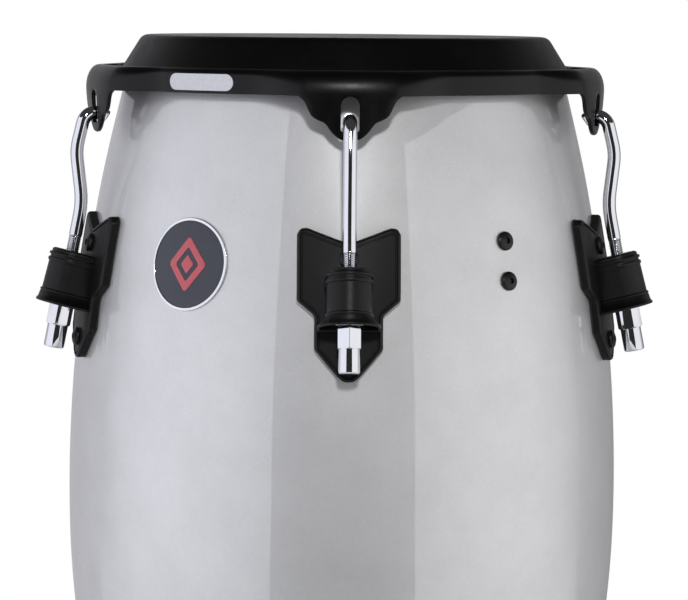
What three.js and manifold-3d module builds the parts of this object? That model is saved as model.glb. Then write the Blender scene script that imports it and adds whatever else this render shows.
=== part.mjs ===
// A conga drum: a moulded shell, a skin held by a flesh hoop and a counterhoop with five ears,
// and five tuning lugs with hooked rods. Millimetres, Z up, the floor at Z = 0, a lug at the front (-Y).

import * as THREE from 'three';
import { mergeVertices } from 'three/addons/utils/BufferGeometryUtils.js';
import Module from 'manifold-3d';

// Driving sizes of the drum. A drop is measured down from the playing surface.

const drumHeight = 762;
const bearingRadius = 150.5;
const shellWall = 7;
const runningGap = 0.3;
const cutOverrun = 20;
const lugCount = 5;
const lugSpacing = (2 * Math.PI) / lugCount;
const ringSegments = 10 * lugCount;
const roundSegments = 12;
const shankSides = 8;

// Shell outline from above the foot up to the collar:
// height as a share of the drum's height, radius as a share of the bearing edge's radius

const footRadiusShare = 0.844;
const shellOutlineShares = [
  [0.079, 0.9275],
  [0.171, 1.0394],
  [0.262, 1.15],
  [0.349, 1.245],
  [0.433, 1.3111],
  [0.4935, 1.3387],
  [0.564, 1.3482],
  [0.635, 1.3387],
  [0.6825, 1.323],
  [0.748, 1.2858],
  [0.8137, 1.2332],
  [0.8609, 1.1894],
  [0.9186, 1.1236],
  [0.942, 1.0943],
];
const shellNeckShares = [
  [0.9633, 1.0644],
  [0.979, 1.0313],
];

// Head: a skin over the rounded bearing edge and a cone down to the flesh hoop

const bearingRound = 5.7;
const skinThickness = 2;
const collarSlope = THREE.MathUtils.degToRad(32);
const membraneEdge = THREE.MathUtils.degToRad(45);
const hoopWidth = 8;
const hoopHeight = 8;
const hoopInset = 2.03;

// Counterhoop: the plain ring, its bulge at each ear, and the slot that the rod hooks through

const rimTopDrop = 21.8;
const rimHeight = 17.4;
const rimWall = 3;
const rimLipWidth = 7.3;
const rimRound = 5.5;
const earBulge = 15.3;
const earFlatSpan = THREE.MathUtils.degToRad(9);
const earBulgeSpan = THREE.MathUtils.degToRad(24);
const earLipShare = 0.67;
const earRound = 10;
const earDepth = 30.6;
const earHalfWidth = 36;
const earLean = 1.6;
const slotWidth = 12.8;
const slotTopDrop = 39.3;
const slotBottomDrop = 63.2;

// Ear outline below the ring: share of its half width, share of its depth

const earOutlineShares = [
  [0, 1],
  [0.15, 0.99],
  [0.34, 0.82],
  [0.48, 0.61],
  [0.62, 0.53],
  [0.755, 0.41],
  [0.87, 0.13],
  [1, 0],
];

// Base: the rubber ring that the shell stands in

const baseThickness = 8;
const baseWall = 4;
const baseLip = 14;
const baseChamfer = 2;

// Tension rod: hooked in the ear, bent at crook, bow and knee, with a straight leg down through the barrel.
// The leg's axis crosses the barrel's axis at the pivot. The crook is placed from the outside of the ear.

const rodRadius = 4.75;
const rodSides = 8;
const crookOut = 4.49;
const crookDrop = 49.53;
const pivotStandOff = 19.7;
const pivotDrop = 168;
const kneeBend = 60;
const bowLean = THREE.MathUtils.degToRad(6.6);
const bowRise = 37.6;
const bowBend = 40;
const hookLean = THREE.MathUtils.degToRad(14);
const hookRise = 34.1;
const hookBend = 9.5;
const hookDip = THREE.MathUtils.degToRad(35);
const hookTail = 15.2;
const headWidth = 10;
const headThickness = 4;

// Tension nut and washer, measured down the leg's axis from the pivot

const nutSeat = 25.8;
const nutLength = 32.2;
const nutHexLength = 15.6;
const nutFlats = 15.7;
const nutRoundRadius = 7.4;
const nutFloor = 3.4;
const threadReserve = 7.3;
const washerThickness = 1.2;
const washerRadius = 10;

// Lug casting: the curved plate and the barrel that stands out from it

const plateTopDrop = 128.7;
const plateWidth = 71;
const plateHeight = 104;
const plateThickness = 5;
const gasketThickness = 1;
const barrelLean = THREE.MathUtils.degToRad(3.6);
const barrelRadius = 15.4;
const barrelRing = 0.9;
const barrelTop = 12.5;
const barrelLength = 39.7;
const barrelBack = 11.2;
const skirtHalfWidth = 21.5;
const skirtReach = 17.4;
const skirtBack = 8.6;
const webHalfWidth = 9;
const rodHoleRadius = 6.8;
const recessRadius = 11.5;

// Barrel outline: share of its length from the top, share of one ring's height proud of the barrel

const barrelOutlineShares = [
  [0, 0],
  [0.075, 0],
  [0.085, 1],
  [0.25, 1],
  [0.26, 0],
  [0.77, 0],
  [0.78, 1],
  [0.805, 1],
];
const skirtEdgeShare = 0.945;
const webTopShare = 0.08;
const webBottomShare = 0.78;

// Plate outline, right half from the notch to the tip:
// share of the half width, share of the height below the top

const plateOutlineShares = [
  [0, 0.105],
  [0.78, 0.006],
  [0.94, 0.008],
  [1, 0.045],
  [1, 0.475],
  [0.662, 0.57],
  [0.662, 0.79],
  [0.2, 0.975],
  [0.1, 1],
];

// Lug fasteners: drops below the plate's top, sizes of bolt, nut and the plate inside the shell

const upperBoltDrop = 21.9;
const lowerBoltDrop = 89.3;
const boltRadius = 3;
const boltHeadRadius = 6.7;
const boltHeadHeight = 3.2;
const boltSocketRadius = 2.4;
const boltSocketDepth = 1.8;
const innerNutFlats = 10;
const innerNutHeight = 5;
const boltTail = 1.5;
const backingThickness = 2.5;
const backingWidth = 30;
const backingMargin = 11;

// Badge and accessory bolts, halfway between two lugs

const badgeRadius = 32;
const badgeThickness = 1.2;
const badgeDrop = 157;
const accessoryDrop = 139.8;
const accessorySpacing = 27.6;
const accessoryHeadRadius = 6.8;
const accessoryHeadHeight = 3.2;
const accessoryPlateWidth = 24;
const accessoryPlateMargin = 14;
const accessoryPlateThickness = 5;

// Finishes

const lacquerSilver = { color: 0xa9abb0, roughness: 0.22, metalness: 0.55 };
const satinBlack = { color: 0x1b1b1d, roughness: 0.45, metalness: 0.2 };
const skinBlack = { color: 0x101011, roughness: 0.5, metalness: 0 };
const chrome = { color: 0xd6d8dd, roughness: 0.08, metalness: 1 };
const blackSteel = { color: 0x111112, roughness: 0.4, metalness: 0.6 };
const zincSteel = { color: 0x9a9c9f, roughness: 0.35, metalness: 0.9 };
const rubberBlack = { color: 0x0c0c0c, roughness: 0.85, metalness: 0 };
const badgeRed = { color: 0x9c1f28, roughness: 0.35, metalness: 0.1 };

const wasm = await Module();
wasm.setup();

// A closed geometry becomes a solid that can be joined and cut, and a geometry again

function toSolid(geometry) {
  const bare = geometry.clone();
  bare.deleteAttribute('normal');
  bare.deleteAttribute('uv');
  const merged = mergeVertices(bare);
  const corners = merged.index.array;
  const triVerts = [];
  for (let i = 0; i < corners.length; i += 3) {
    const [a, b, c] = corners.slice(i, i + 3);
    if (a !== b && b !== c && c !== a) triVerts.push(a, b, c);
  }
  return new wasm.Manifold(new wasm.Mesh({
    numProp: 3,
    vertProperties: new Float32Array(merged.attributes.position.array),
    triVerts: new Uint32Array(triVerts),
  }));
}

function toGeometry(solid) {
  const mesh = solid.getMesh();
  const geometry = new THREE.BufferGeometry();
  geometry.setAttribute('position', new THREE.BufferAttribute(new Float32Array(mesh.vertProperties), 3));
  geometry.setIndex(new THREE.BufferAttribute(new Uint32Array(mesh.triVerts), 1));
  geometry.computeVertexNormals();
  return geometry;
}

// Profiles of [radius, height] revolved about Z, counterclockwise, starting at the front

function revolve(profile, segments = roundSegments) {
  const points = profile.map(([radius, height]) => new THREE.Vector2(radius, height));
  return new THREE.LatheGeometry(points, segments).rotateX(Math.PI / 2);
}

function revolveLoop(profile, segments = ringSegments) {
  return revolve([...profile, profile[0]], segments);
}

function rod(radius, bottom, top, segments = roundSegments) {
  return revolve([[0, bottom], [radius, bottom], [radius, top], [0, top]], segments);
}

function tube(innerRadius, outerRadius, bottom, top, segments = roundSegments) {
  const profile = [[innerRadius, bottom], [outerRadius, bottom], [outerRadius, top], [innerRadius, top]];
  return revolveLoop(profile, segments);
}

// A hexagon's radius to its corners from its width across flats

function hexRadius(flats) {
  return flats / Math.sqrt(3);
}

// Points on an arc in the plane of a profile, from one angle to another above the horizontal

function arcPoints(centreRadius, centreHeight, radius, from, to, count) {
  return Array.from({ length: count }, (_, i) => {
    const angle = THREE.MathUtils.lerp(from, to, i / (count - 1));
    return [centreRadius + radius * Math.cos(angle), centreHeight + radius * Math.sin(angle)];
  });
}

// Straight-line reading of a table of shares

function readShares(table, share) {
  const next = table.findIndex(([position]) => position >= share);
  if (next < 0) return table.at(-1)[1];
  if (next === 0) return table[0][1];
  const [[lowPosition, low], [highPosition, high]] = [table[next - 1], table[next]];
  return THREE.MathUtils.mapLinear(share, lowPosition, highPosition, low, high);
}

// Stacks rings of points, each with the same count, into one closed body

function loft(rings) {
  const count = rings[0].length;
  const positions = rings.flat().flatMap((point) => point.toArray());
  const index = [];
  for (let ring = 0; ring + 1 < rings.length; ring += 1) {
    for (let i = 0; i < count; i += 1) {
      const [a, b] = [ring * count + i, ring * count + ((i + 1) % count)];
      index.push(a, b, b + count, a, b + count, a + count);
    }
  }
  const top = (rings.length - 1) * count;
  for (let i = 1; i + 1 < count; i += 1) {
    index.push(0, i + 1, i, top, top + i, top + i + 1);
  }
  const geometry = new THREE.BufferGeometry();
  geometry.setAttribute('position', new THREE.Float32BufferAttribute(positions, 3));
  geometry.setIndex(index);
  return geometry;
}

// Shell outline in millimetres, and the layers that follow it

const drumTop = drumHeight;
const shellFoot = baseThickness + runningGap;
const bearingHeight = drumTop - skinThickness - runningGap - bearingRound;
const bearingCentreRadius = bearingRadius - bearingRound;
const toMillimetres = ([height, radius]) => [radius * bearingRadius, height * drumHeight];
const shellOuter = [[footRadiusShare * bearingRadius, shellFoot], ...shellOutlineShares.map(toMillimetres)];
const shellInner = shellOuter.map(([radius, height]) => [radius - shellWall, height]);
const bellyRadius = Math.max(...shellOuter.map(([radius]) => radius));

function shellRadius(height) {
  return readShares(shellOuter.map(([radius, level]) => [level, radius]), height);
}

function shellLean(height) {
  const step = shellWall;
  return Math.atan2(shellRadius(height - step) - shellRadius(height + step), 2 * step);
}

// The solid layer between two offsets from the shell's outside

function shellLayer(inner, outer) {
  const outside = shellOuter.map(([radius, height]) => [radius + outer, height]);
  const inside = shellOuter.map(([radius, height]) => [radius + inner, height]).reverse();
  return toSolid(revolveLoop([...outside, ...inside]));
}

// A flat outline of [across, height] pushed outwards through the front of the drum

function frontPrism(outline) {
  const shape = new THREE.Shape(outline.map(([across, height]) => new THREE.Vector2(across, height)));
  const geometry = new THREE.ExtrudeGeometry(shape, { depth: bellyRadius, bevelEnabled: false });
  return toSolid(geometry.rotateX(Math.PI / 2).translate(0, -bellyRadius / 2, 0));
}

// Turns a shape made along Z so that Z leans inwards by an angle, and moves it to the pivot

function leanAtPivot(geometry, lean) {
  return geometry.rotateX(-lean).translate(...pivot.toArray());
}

function alongLeg(geometry) {
  return leanAtPivot(geometry, legTilt);
}

// Turns a shape made along Z so that Z points out of the shell at a height on its outside

function outOfShell(geometry, height) {
  return geometry.rotateX(Math.PI / 2 - shellLean(height)).translate(0, -shellRadius(height), height);
}

// Shell: moulded wall with a rounded bearing edge, drilled for the lug and accessory bolts

const bearingArc = arcPoints(bearingCentreRadius, bearingHeight, bearingRound, 0, Math.PI, 5);

function shellHole(height, azimuth) {
  const hole = rod(boltRadius + runningGap, -shellWall - cutOverrun, cutOverrun, shankSides);
  return toSolid(outOfShell(hole, height).rotateZ(azimuth));
}

const plateTop = drumTop - plateTopDrop;
const lugBoltHeights = [plateTop - upperBoltDrop, plateTop - lowerBoltDrop];
const accessoryTop = drumTop - accessoryDrop;
const accessoryHeights = [accessoryTop, accessoryTop - accessorySpacing];
const lugAzimuths = Array.from({ length: lugCount }, (_, i) => i * lugSpacing);
const accessoryAzimuth = lugSpacing / 2;
const badgeAzimuth = -lugSpacing / 2;

function shellGeometry() {
  const neck = shellNeckShares.map(toMillimetres);
  const profile = [...shellOuter, ...neck, ...bearingArc, ...[...shellInner].reverse()];
  let shell = toSolid(revolveLoop(profile));
  for (const azimuth of lugAzimuths) {
    for (const height of lugBoltHeights) shell = shell.subtract(shellHole(height, azimuth));
  }
  for (const height of accessoryHeights) shell = shell.subtract(shellHole(height, accessoryAzimuth));
  return toGeometry(shell);
}

// Base ring: rubber channel under the shell's foot

function baseRingGeometry() {
  const [footOuter, foot] = shellOuter[0];
  const lipHeight = foot + baseLip;
  const outerWall = shellRadius(lipHeight) + runningGap;
  const innerWall = shellRadius(lipHeight) - shellWall - runningGap;
  const channelOuter = footOuter + runningGap;
  const channelInner = footOuter - shellWall - runningGap;
  return revolveLoop([
    [channelInner - baseWall, 0],
    [channelOuter + baseWall - baseChamfer, 0],
    [channelOuter + baseWall, baseChamfer],
    [outerWall + baseWall, lipHeight],
    [outerWall, lipHeight],
    [channelOuter, baseThickness],
    [channelInner, baseThickness],
    [innerWall, lipHeight],
    [innerWall - baseWall, lipHeight],
  ]);
}

// Head: flat membrane over the bearing edge, collar down the cone, and the flesh hoop that holds it

const skinInnerRound = bearingRound + runningGap;
const skinOuterRound = skinInnerRound + skinThickness;
const skinEdge = [bearingCentreRadius, bearingHeight];
const hoopTop = drumTop - rimTopDrop - rimWall - runningGap;
const collarBottom = hoopTop + runningGap;

function membraneGeometry() {
  const under = arcPoints(...skinEdge, skinInnerRound, Math.PI / 2, membraneEdge, 3);
  const over = arcPoints(...skinEdge, skinOuterRound, membraneEdge, Math.PI / 2, 3);
  return revolve([[0, drumTop - skinThickness], ...under, ...over, [0, drumTop]], ringSegments);
}

// The cone's foot, straight down the slope from a point of the collar's round

function coneEnd([radius, height]) {
  return [radius + (height - collarBottom) * Math.tan(collarSlope), collarBottom];
}

const collarStart = membraneEdge - runningGap / skinInnerRound;
const collarOver = arcPoints(...skinEdge, skinOuterRound, collarSlope, collarStart, 2);
const collarUnder = arcPoints(...skinEdge, skinInnerRound, collarStart, collarSlope, 2);
const collarFoot = coneEnd(collarUnder[1]);

function collarGeometry() {
  return revolveLoop([coneEnd(collarOver[0]), ...collarOver, ...collarUnder, collarFoot]);
}

const hoopInnerRadius = collarFoot[0] + hoopInset;
const hoopOuterRadius = hoopInnerRadius + hoopWidth;
const rimRadius = hoopOuterRadius + 2 * runningGap + rimWall;

function fleshHoopGeometry() {
  const chamfer = rimRound - rimWall;
  return revolveLoop([
    [hoopInnerRadius, hoopTop - hoopHeight],
    [hoopOuterRadius, hoopTop - hoopHeight],
    [hoopOuterRadius, hoopTop - chamfer],
    [hoopOuterRadius - chamfer, hoopTop],
    [hoopInnerRadius, hoopTop],
  ]);
}

// Counterhoop: one section swept round the drum, swelling and reaching down at each ear

const rimTop = drumTop - rimTopDrop;
const rimBottom = rimTop - rimHeight;
const earRadius = rimRadius + earBulge;

function rimSection(angle) {
  const swell = 1 - THREE.MathUtils.smoothstep(Math.abs(angle), earFlatSpan, earBulgeSpan);
  const outer = rimRadius + earBulge * swell;
  const lip = rimRadius - rimLipWidth + earBulge * earLipShare * swell;
  const across = (Math.abs(Math.sin(angle)) * earRadius) / earHalfWidth;
  const reach = readShares(earOutlineShares, across);
  const bottom = rimBottom - earDepth * reach;
  const leanIn = earLean * reach;
  const round = THREE.MathUtils.lerp(rimRound, earRound, swell);
  const bend = [outer - round, rimTop - round];
  return [
    [outer - rimWall - leanIn, bottom],
    [outer - leanIn, bottom],
    ...arcPoints(...bend, round, 0, Math.PI / 2, 3),
    [lip, rimTop],
    [lip, rimTop - rimWall],
    ...arcPoints(...bend, round - rimWall, Math.PI / 2, 0, 2),
  ];
}

function rimAngles() {
  const ear = earOutlineShares.map(([across]) => Math.asin((across * earHalfWidth) / earRadius));
  const earEdge = ear.at(-1);
  const fade = [1, 2].map((step) => THREE.MathUtils.lerp(earEdge, earBulgeSpan, step / 2));
  const half = [...ear, ...fade, (earBulgeSpan + lugSpacing / 2) / 2];
  const offsets = [...half.slice(1).map((angle) => -angle).reverse(), ...half, lugSpacing / 2];
  return lugAzimuths.flatMap((azimuth) => offsets.map((offset) => ({ azimuth, offset })));
}

function rimGeometry() {
  const sections = rimAngles().map(({ azimuth, offset }) => {
    const turn = azimuth + offset;
    return rimSection(offset).map(([radius, height]) => {
      return new THREE.Vector3(radius * Math.sin(turn), -radius * Math.cos(turn), height);
    });
  });
  const count = sections[0].length;
  const positions = sections.flat().flatMap((point) => point.toArray());
  const index = [];
  sections.forEach((_, ring) => {
    const next = (ring + 1) % sections.length;
    for (let i = 0; i < count; i += 1) {
      const j = (i + 1) % count;
      index.push(ring * count + i, next * count + i, next * count + j);
      index.push(ring * count + i, next * count + j, ring * count + j);
    }
  });
  const geometry = new THREE.BufferGeometry();
  geometry.setAttribute('position', new THREE.Float32BufferAttribute(positions, 3));
  geometry.setIndex(index);
  let rim = toSolid(geometry);
  for (const azimuth of lugAzimuths) {
    rim = rim.subtract(earSlot().rotate([0, 0, THREE.MathUtils.radToDeg(azimuth)]));
  }
  return toGeometry(rim);
}

function earSlot() {
  const half = slotWidth / 2;
  const shoulder = drumTop - slotTopDrop - half;
  const bottom = drumTop - slotBottomDrop;
  const crown = arcPoints(0, shoulder, half, 0, Math.PI, 7);
  return frontPrism([[-half, bottom], [half, bottom], ...crown]);
}

// Tension rod: straight leg, knee, bow and hook, bent to radius at each corner of its path

function towards(point, lean, length) {
  return point.clone().add(new THREE.Vector3(0, Math.sin(lean), Math.cos(lean)).multiplyScalar(length));
}

const crook = new THREE.Vector3(0, -earRadius - crookOut, drumTop - crookDrop);
const bow = towards(crook, hookLean, -hookRise);
const knee = towards(bow, -bowLean, -bowRise);
const pivotHeight = drumTop - pivotDrop;
const pivot = new THREE.Vector3(0, -shellRadius(pivotHeight) - pivotStandOff, pivotHeight);
const legTilt = Math.atan2(knee.y - pivot.y, knee.z - pivot.z);
const barrelTilt = legTilt + barrelLean;
const legTail = nutSeat + nutLength - nutFloor - threadReserve;
const hookTurn = Math.PI / 2 + hookDip;
const hookEnd = towards(crook, hookTurn, hookTail);

class BentRodCurve extends THREE.Curve {
  constructor(start, corners, end) {
    super();
    this.stations = [{ point: start, tangent: corners[0].point.clone().sub(start).normalize() }];
    corners.forEach(({ point, bend, steps }, i) => {
      const before = (i ? corners[i - 1].point : start).clone().sub(point).normalize();
      const after = (corners[i + 1]?.point ?? end).clone().sub(point).normalize();
      const turn = Math.PI - before.angleTo(after);
      const inwards = before.clone().add(after).normalize();
      const centre = inwards.multiplyScalar(bend / Math.cos(turn / 2)).add(point);
      const side = before.clone().multiplyScalar(bend * Math.tan(turn / 2)).add(point).sub(centre);
      const axis = before.clone().negate().cross(after).normalize();
      for (let step = 0; step <= steps; step += 1) {
        const angle = (turn * step) / steps;
        const tangent = before.clone().negate().applyAxisAngle(axis, angle);
        this.stations.push({ point: side.clone().applyAxisAngle(axis, angle).add(centre), tangent });
      }
    });
    this.stations.push({ point: end, tangent: end.clone().sub(corners.at(-1).point).normalize() });
  }

  station(share) {
    return this.stations[Math.round(share * (this.stations.length - 1))];
  }

  getPointAt(share) {
    return this.station(share).point.clone();
  }

  getTangentAt(share) {
    return this.station(share).tangent.clone();
  }
}

function polygonShape(radius, sides) {
  return new THREE.Shape(Array.from({ length: sides }, (_, i) => {
    const angle = ((2 * i + 1) * Math.PI) / sides;
    return new THREE.Vector2(radius * Math.cos(angle), radius * Math.sin(angle));
  }));
}

function tensionRodGeometry() {
  const path = new BentRodCurve(towards(pivot, legTilt, -legTail), [
    { point: knee, bend: kneeBend, steps: 2 },
    { point: bow, bend: bowBend, steps: 2 },
    { point: crook, bend: hookBend, steps: 6 },
  ], hookEnd);
  const settings = { extrudePath: path, steps: path.stations.length - 1, bevelEnabled: false };
  const bar = toSolid(new THREE.ExtrudeGeometry(polygonShape(rodRadius, rodSides), settings));
  const block = new THREE.BoxGeometry(headWidth, headWidth, headThickness);
  const head = block.rotateX(-hookTurn).translate(...towards(hookEnd, hookTurn, 0).toArray());
  return toGeometry(bar.add(toSolid(head)));
}

// Tension nut: hexagon above, round below, blind bore for the rod's thread

function tensionNutGeometry() {
  const hexBottom = -nutSeat - nutHexLength;
  const hex = rod(hexRadius(nutFlats), hexBottom, -nutSeat, 6);
  const round = rod(nutRoundRadius, -nutSeat - nutLength, hexBottom + runningGap);
  const bore = rod(rodRadius + runningGap, -nutSeat - nutLength + nutFloor, -nutSeat + cutOverrun);
  return alongLeg(toGeometry(toSolid(hex).add(toSolid(round)).subtract(toSolid(bore))));
}

function nutWasherGeometry() {
  const bottom = -nutSeat + runningGap;
  return alongLeg(tube(rodRadius + runningGap, washerRadius, bottom, bottom + washerThickness));
}

// Lug casting: plate that follows the shell, joined to the barrel by a web

const gasketInner = runningGap;
const gasketOuter = gasketInner + gasketThickness;
const plateInner = gasketOuter + runningGap;
const plateOuter = plateInner + plateThickness;

function plateOutline() {
  const right = plateOutlineShares.map(([across, down]) => {
    return [(across * plateWidth) / 2, plateTop - down * plateHeight];
  });
  const left = right.slice(1).map(([across, height]) => [-across, height]).reverse();
  return [...right, ...left].reverse();
}

function barrelRingAt(height, halfWidth, reach, back) {
  const front = Array.from({ length: 7 }, (_, i) => {
    const angle = Math.PI + (Math.PI * i) / 6;
    return new THREE.Vector3(halfWidth * Math.cos(angle), reach * Math.sin(angle), height);
  });
  return [...front, new THREE.Vector3(halfWidth, back, height), new THREE.Vector3(-halfWidth, back, height)];
}

function barrelGeometry() {
  const down = (share) => barrelTop - share * barrelLength;
  const rings = barrelOutlineShares.map(([share, proud]) => {
    const radius = barrelRadius + proud * barrelRing;
    return barrelRingAt(down(share), radius, radius, barrelBack);
  });
  rings.push(barrelRingAt(down(skirtEdgeShare), skirtHalfWidth, skirtReach, skirtBack));
  rings.push(barrelRingAt(down(1), skirtHalfWidth, skirtReach, skirtBack));
  return loft(rings.reverse());
}

function webGeometry() {
  const top = barrelTop - webTopShare * barrelLength;
  const bottom = barrelTop - webBottomShare * barrelLength;
  const depth = barrelBack + plateThickness;
  const box = new THREE.BoxGeometry(2 * webHalfWidth, depth, top - bottom);
  return box.translate(0, barrelBack - runningGap + depth / 2, (top + bottom) / 2);
}

function inBarrel(geometry) {
  return toSolid(leanAtPivot(geometry, barrelTilt));
}

function lugBoltHole(height) {
  const hole = rod(boltRadius + runningGap, -cutOverrun, cutOverrun, shankSides);
  return toSolid(outOfShell(hole, height));
}

function castingGeometry() {
  const plate = frontPrism(plateOutline()).intersect(shellLayer(plateInner, plateOuter));
  const insideOfPlate = toSolid(revolve([
    [0, shellOuter[0][1]],
    ...shellOuter.map(([radius, height]) => [radius + plateInner, height]),
    [0, shellOuter.at(-1)[1]],
  ], ringSegments));
  const barrel = inBarrel(barrelGeometry()).add(inBarrel(webGeometry())).subtract(insideOfPlate);
  const rodHole = toSolid(alongLeg(rod(rodHoleRadius, -nutSeat - cutOverrun, barrelTop + cutOverrun)));
  const recessFloor = -nutSeat + washerThickness + 2 * runningGap;
  const recess = toSolid(alongLeg(rod(recessRadius, recessFloor - cutOverrun, recessFloor)));
  let casting = plate.add(barrel).subtract(rodHole).subtract(recess);
  for (const height of lugBoltHeights) casting = casting.subtract(lugBoltHole(height));
  return toGeometry(casting);
}

function gasketGeometry() {
  let gasket = frontPrism(plateOutline()).intersect(shellLayer(gasketInner, gasketOuter));
  for (const height of lugBoltHeights) gasket = gasket.subtract(lugBoltHole(height));
  return toGeometry(gasket);
}

// Plates inside the shell, drilled for the bolts

function innerPlateGeometry(width, heights, margin, thickness) {
  const half = width / 2;
  const top = Math.max(...heights) + margin;
  const bottom = Math.min(...heights) - margin;
  const outline = [[-half, bottom], [half, bottom], [half, top], [-half, top]];
  const outerFace = -shellWall - runningGap;
  let plate = frontPrism(outline).intersect(shellLayer(outerFace - thickness, outerFace));
  for (const height of heights) {
    const hole = rod(boltRadius + runningGap, -cutOverrun - shellWall, 0, shankSides);
    plate = plate.subtract(toSolid(outOfShell(hole, height)));
  }
  return toGeometry(plate);
}

// Button-headed bolt with a hexagon socket; its seat and tip are measured from the outside of the shell

function boltGeometry(height, seat, tip, headRadius, headHeight) {
  const lean = Math.cos(shellLean(height));
  const under = seat * lean + runningGap;
  const crown = under + headHeight;
  const head = toSolid(revolve([
    [0, under],
    [headRadius, under],
    [headRadius, under + headHeight / 3],
    [boltSocketRadius + runningGap, crown],
    [0, crown],
  ]));
  const shank = toSolid(rod(boltRadius, tip * lean, under + runningGap, shankSides));
  const socket = toSolid(rod(boltSocketRadius, crown - boltSocketDepth, crown + cutOverrun, 6));
  return outOfShell(toGeometry(head.add(shank).subtract(socket)), height);
}

// The curved plate's flats stand a little inwards of its ridge, so a nut on it keeps twice the gap

const innerNutSeat = shellWall + backingThickness + 3 * runningGap;
const lugBoltTip = -innerNutSeat - innerNutHeight - boltTail;
const accessoryTip = -shellWall - accessoryPlateThickness - boltTail;

function innerNutGeometry(height) {
  const top = -innerNutSeat * Math.cos(shellLean(height));
  const nut = toSolid(rod(hexRadius(innerNutFlats), top - innerNutHeight, top, 6));
  const bore = toSolid(rod(boltRadius + runningGap, -bellyRadius, 0, shankSides));
  return outOfShell(toGeometry(nut.subtract(bore)), height);
}

function badgeGeometry() {
  const centre = drumTop - badgeDrop;
  const disc = arcPoints(0, centre, badgeRadius, 0, 2 * Math.PI, 2 * roundSegments + 1).slice(1);
  return toGeometry(frontPrism(disc).intersect(shellLayer(runningGap, runningGap + badgeThickness)));
}

// Assembly. The drum's axis stands back so that the box around the drum is centred on the origin.

const skirtBottom = barrelLength - barrelTop;
const frontReach = -pivot.y + skirtBottom * Math.sin(barrelTilt) + skirtReach * Math.cos(barrelTilt);
const conga = new THREE.Group();
conga.position.y = (frontReach - bellyRadius) / 2;

function addPiece(name, geometry, finish, azimuth = 0) {
  const piece = new THREE.Mesh(geometry, new THREE.MeshStandardMaterial(finish));
  piece.name = name;
  piece.rotation.z = azimuth;
  conga.add(piece);
}

addPiece('shell', shellGeometry(), lacquerSilver);
addPiece('base_ring', baseRingGeometry(), rubberBlack);
addPiece('head_membrane', membraneGeometry(), skinBlack);
addPiece('head_collar', collarGeometry(), skinBlack);
addPiece('flesh_hoop', fleshHoopGeometry(), blackSteel);
addPiece('counterhoop', rimGeometry(), satinBlack);
addPiece('badge', badgeGeometry(), badgeRed, badgeAzimuth);

const accessoryPlate = innerPlateGeometry(
  accessoryPlateWidth, accessoryHeights, accessoryPlateMargin, accessoryPlateThickness,
);
addPiece('accessory_plate', accessoryPlate, zincSteel, accessoryAzimuth);
accessoryHeights.forEach((height, i) => {
  const bolt = boltGeometry(height, 0, accessoryTip, accessoryHeadRadius, accessoryHeadHeight);
  addPiece(`accessory_bolt_${i + 1}`, bolt, blackSteel, accessoryAzimuth);
});

function lugBoltGeometry(height) {
  return boltGeometry(height, plateOuter, lugBoltTip, boltHeadRadius, boltHeadHeight);
}

const [upperHeight, lowerHeight] = lugBoltHeights;
const backingPlate = innerPlateGeometry(
  backingWidth, lugBoltHeights, backingMargin, backingThickness,
);
const lugPieces = [
  ['lug_casting', castingGeometry(), satinBlack],
  ['lug_gasket', gasketGeometry(), rubberBlack],
  ['nut_washer', nutWasherGeometry(), chrome],
  ['tension_rod', tensionRodGeometry(), chrome],
  ['tension_nut', tensionNutGeometry(), chrome],
  ['upper_bolt', lugBoltGeometry(upperHeight), blackSteel],
  ['lower_bolt', lugBoltGeometry(lowerHeight), blackSteel],
  ['upper_inner_nut', innerNutGeometry(upperHeight), zincSteel],
  ['lower_inner_nut', innerNutGeometry(lowerHeight), zincSteel],
  ['backing_plate', backingPlate, zincSteel],
];
lugAzimuths.forEach((azimuth, i) => {
  for (const [name, geometry, finish] of lugPieces) addPiece(`${name}_${i + 1}`, geometry, finish, azimuth);
});

export default conga;
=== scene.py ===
"""Looks of a conga drum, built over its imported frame.

Pieces are shaped in millimetres round the drum's own axis, with a lug at the front (-Y), and placed in metres.
"""
import logging
import math
from bisect import bisect_right
from collections.abc import Callable, Iterable, Sequence
from dataclasses import dataclass, field
from enum import Enum

import bmesh
import bpy
from mathutils import Matrix, Vector


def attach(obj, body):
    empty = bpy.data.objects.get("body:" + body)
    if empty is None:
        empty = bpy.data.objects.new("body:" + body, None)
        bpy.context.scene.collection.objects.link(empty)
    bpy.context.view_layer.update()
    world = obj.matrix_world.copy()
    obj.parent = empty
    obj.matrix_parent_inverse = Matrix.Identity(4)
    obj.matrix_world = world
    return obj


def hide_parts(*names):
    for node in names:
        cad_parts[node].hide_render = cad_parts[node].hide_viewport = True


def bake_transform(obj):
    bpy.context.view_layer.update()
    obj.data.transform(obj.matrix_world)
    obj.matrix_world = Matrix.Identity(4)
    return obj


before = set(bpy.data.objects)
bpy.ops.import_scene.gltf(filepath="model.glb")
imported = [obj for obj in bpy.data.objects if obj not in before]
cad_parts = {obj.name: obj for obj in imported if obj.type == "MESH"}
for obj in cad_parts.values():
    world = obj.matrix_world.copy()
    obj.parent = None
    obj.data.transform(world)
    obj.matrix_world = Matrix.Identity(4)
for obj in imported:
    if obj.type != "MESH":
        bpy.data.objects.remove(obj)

logging.basicConfig(level=logging.INFO, format="%(message)s")
log = logging.getLogger("conga")

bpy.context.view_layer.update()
MM = 0.001
AXIS_Y = 15.1803
DRUM_TOP = 762.0
GAP = 0.3
SAME_POINT = 0.001
ON_PLANE = 0.0005
LUG_COUNT = 5
LUG_SPACING = 2 * math.pi / LUG_COUNT
Point = tuple[float, float]
Colour = tuple[float, float, float]


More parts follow.
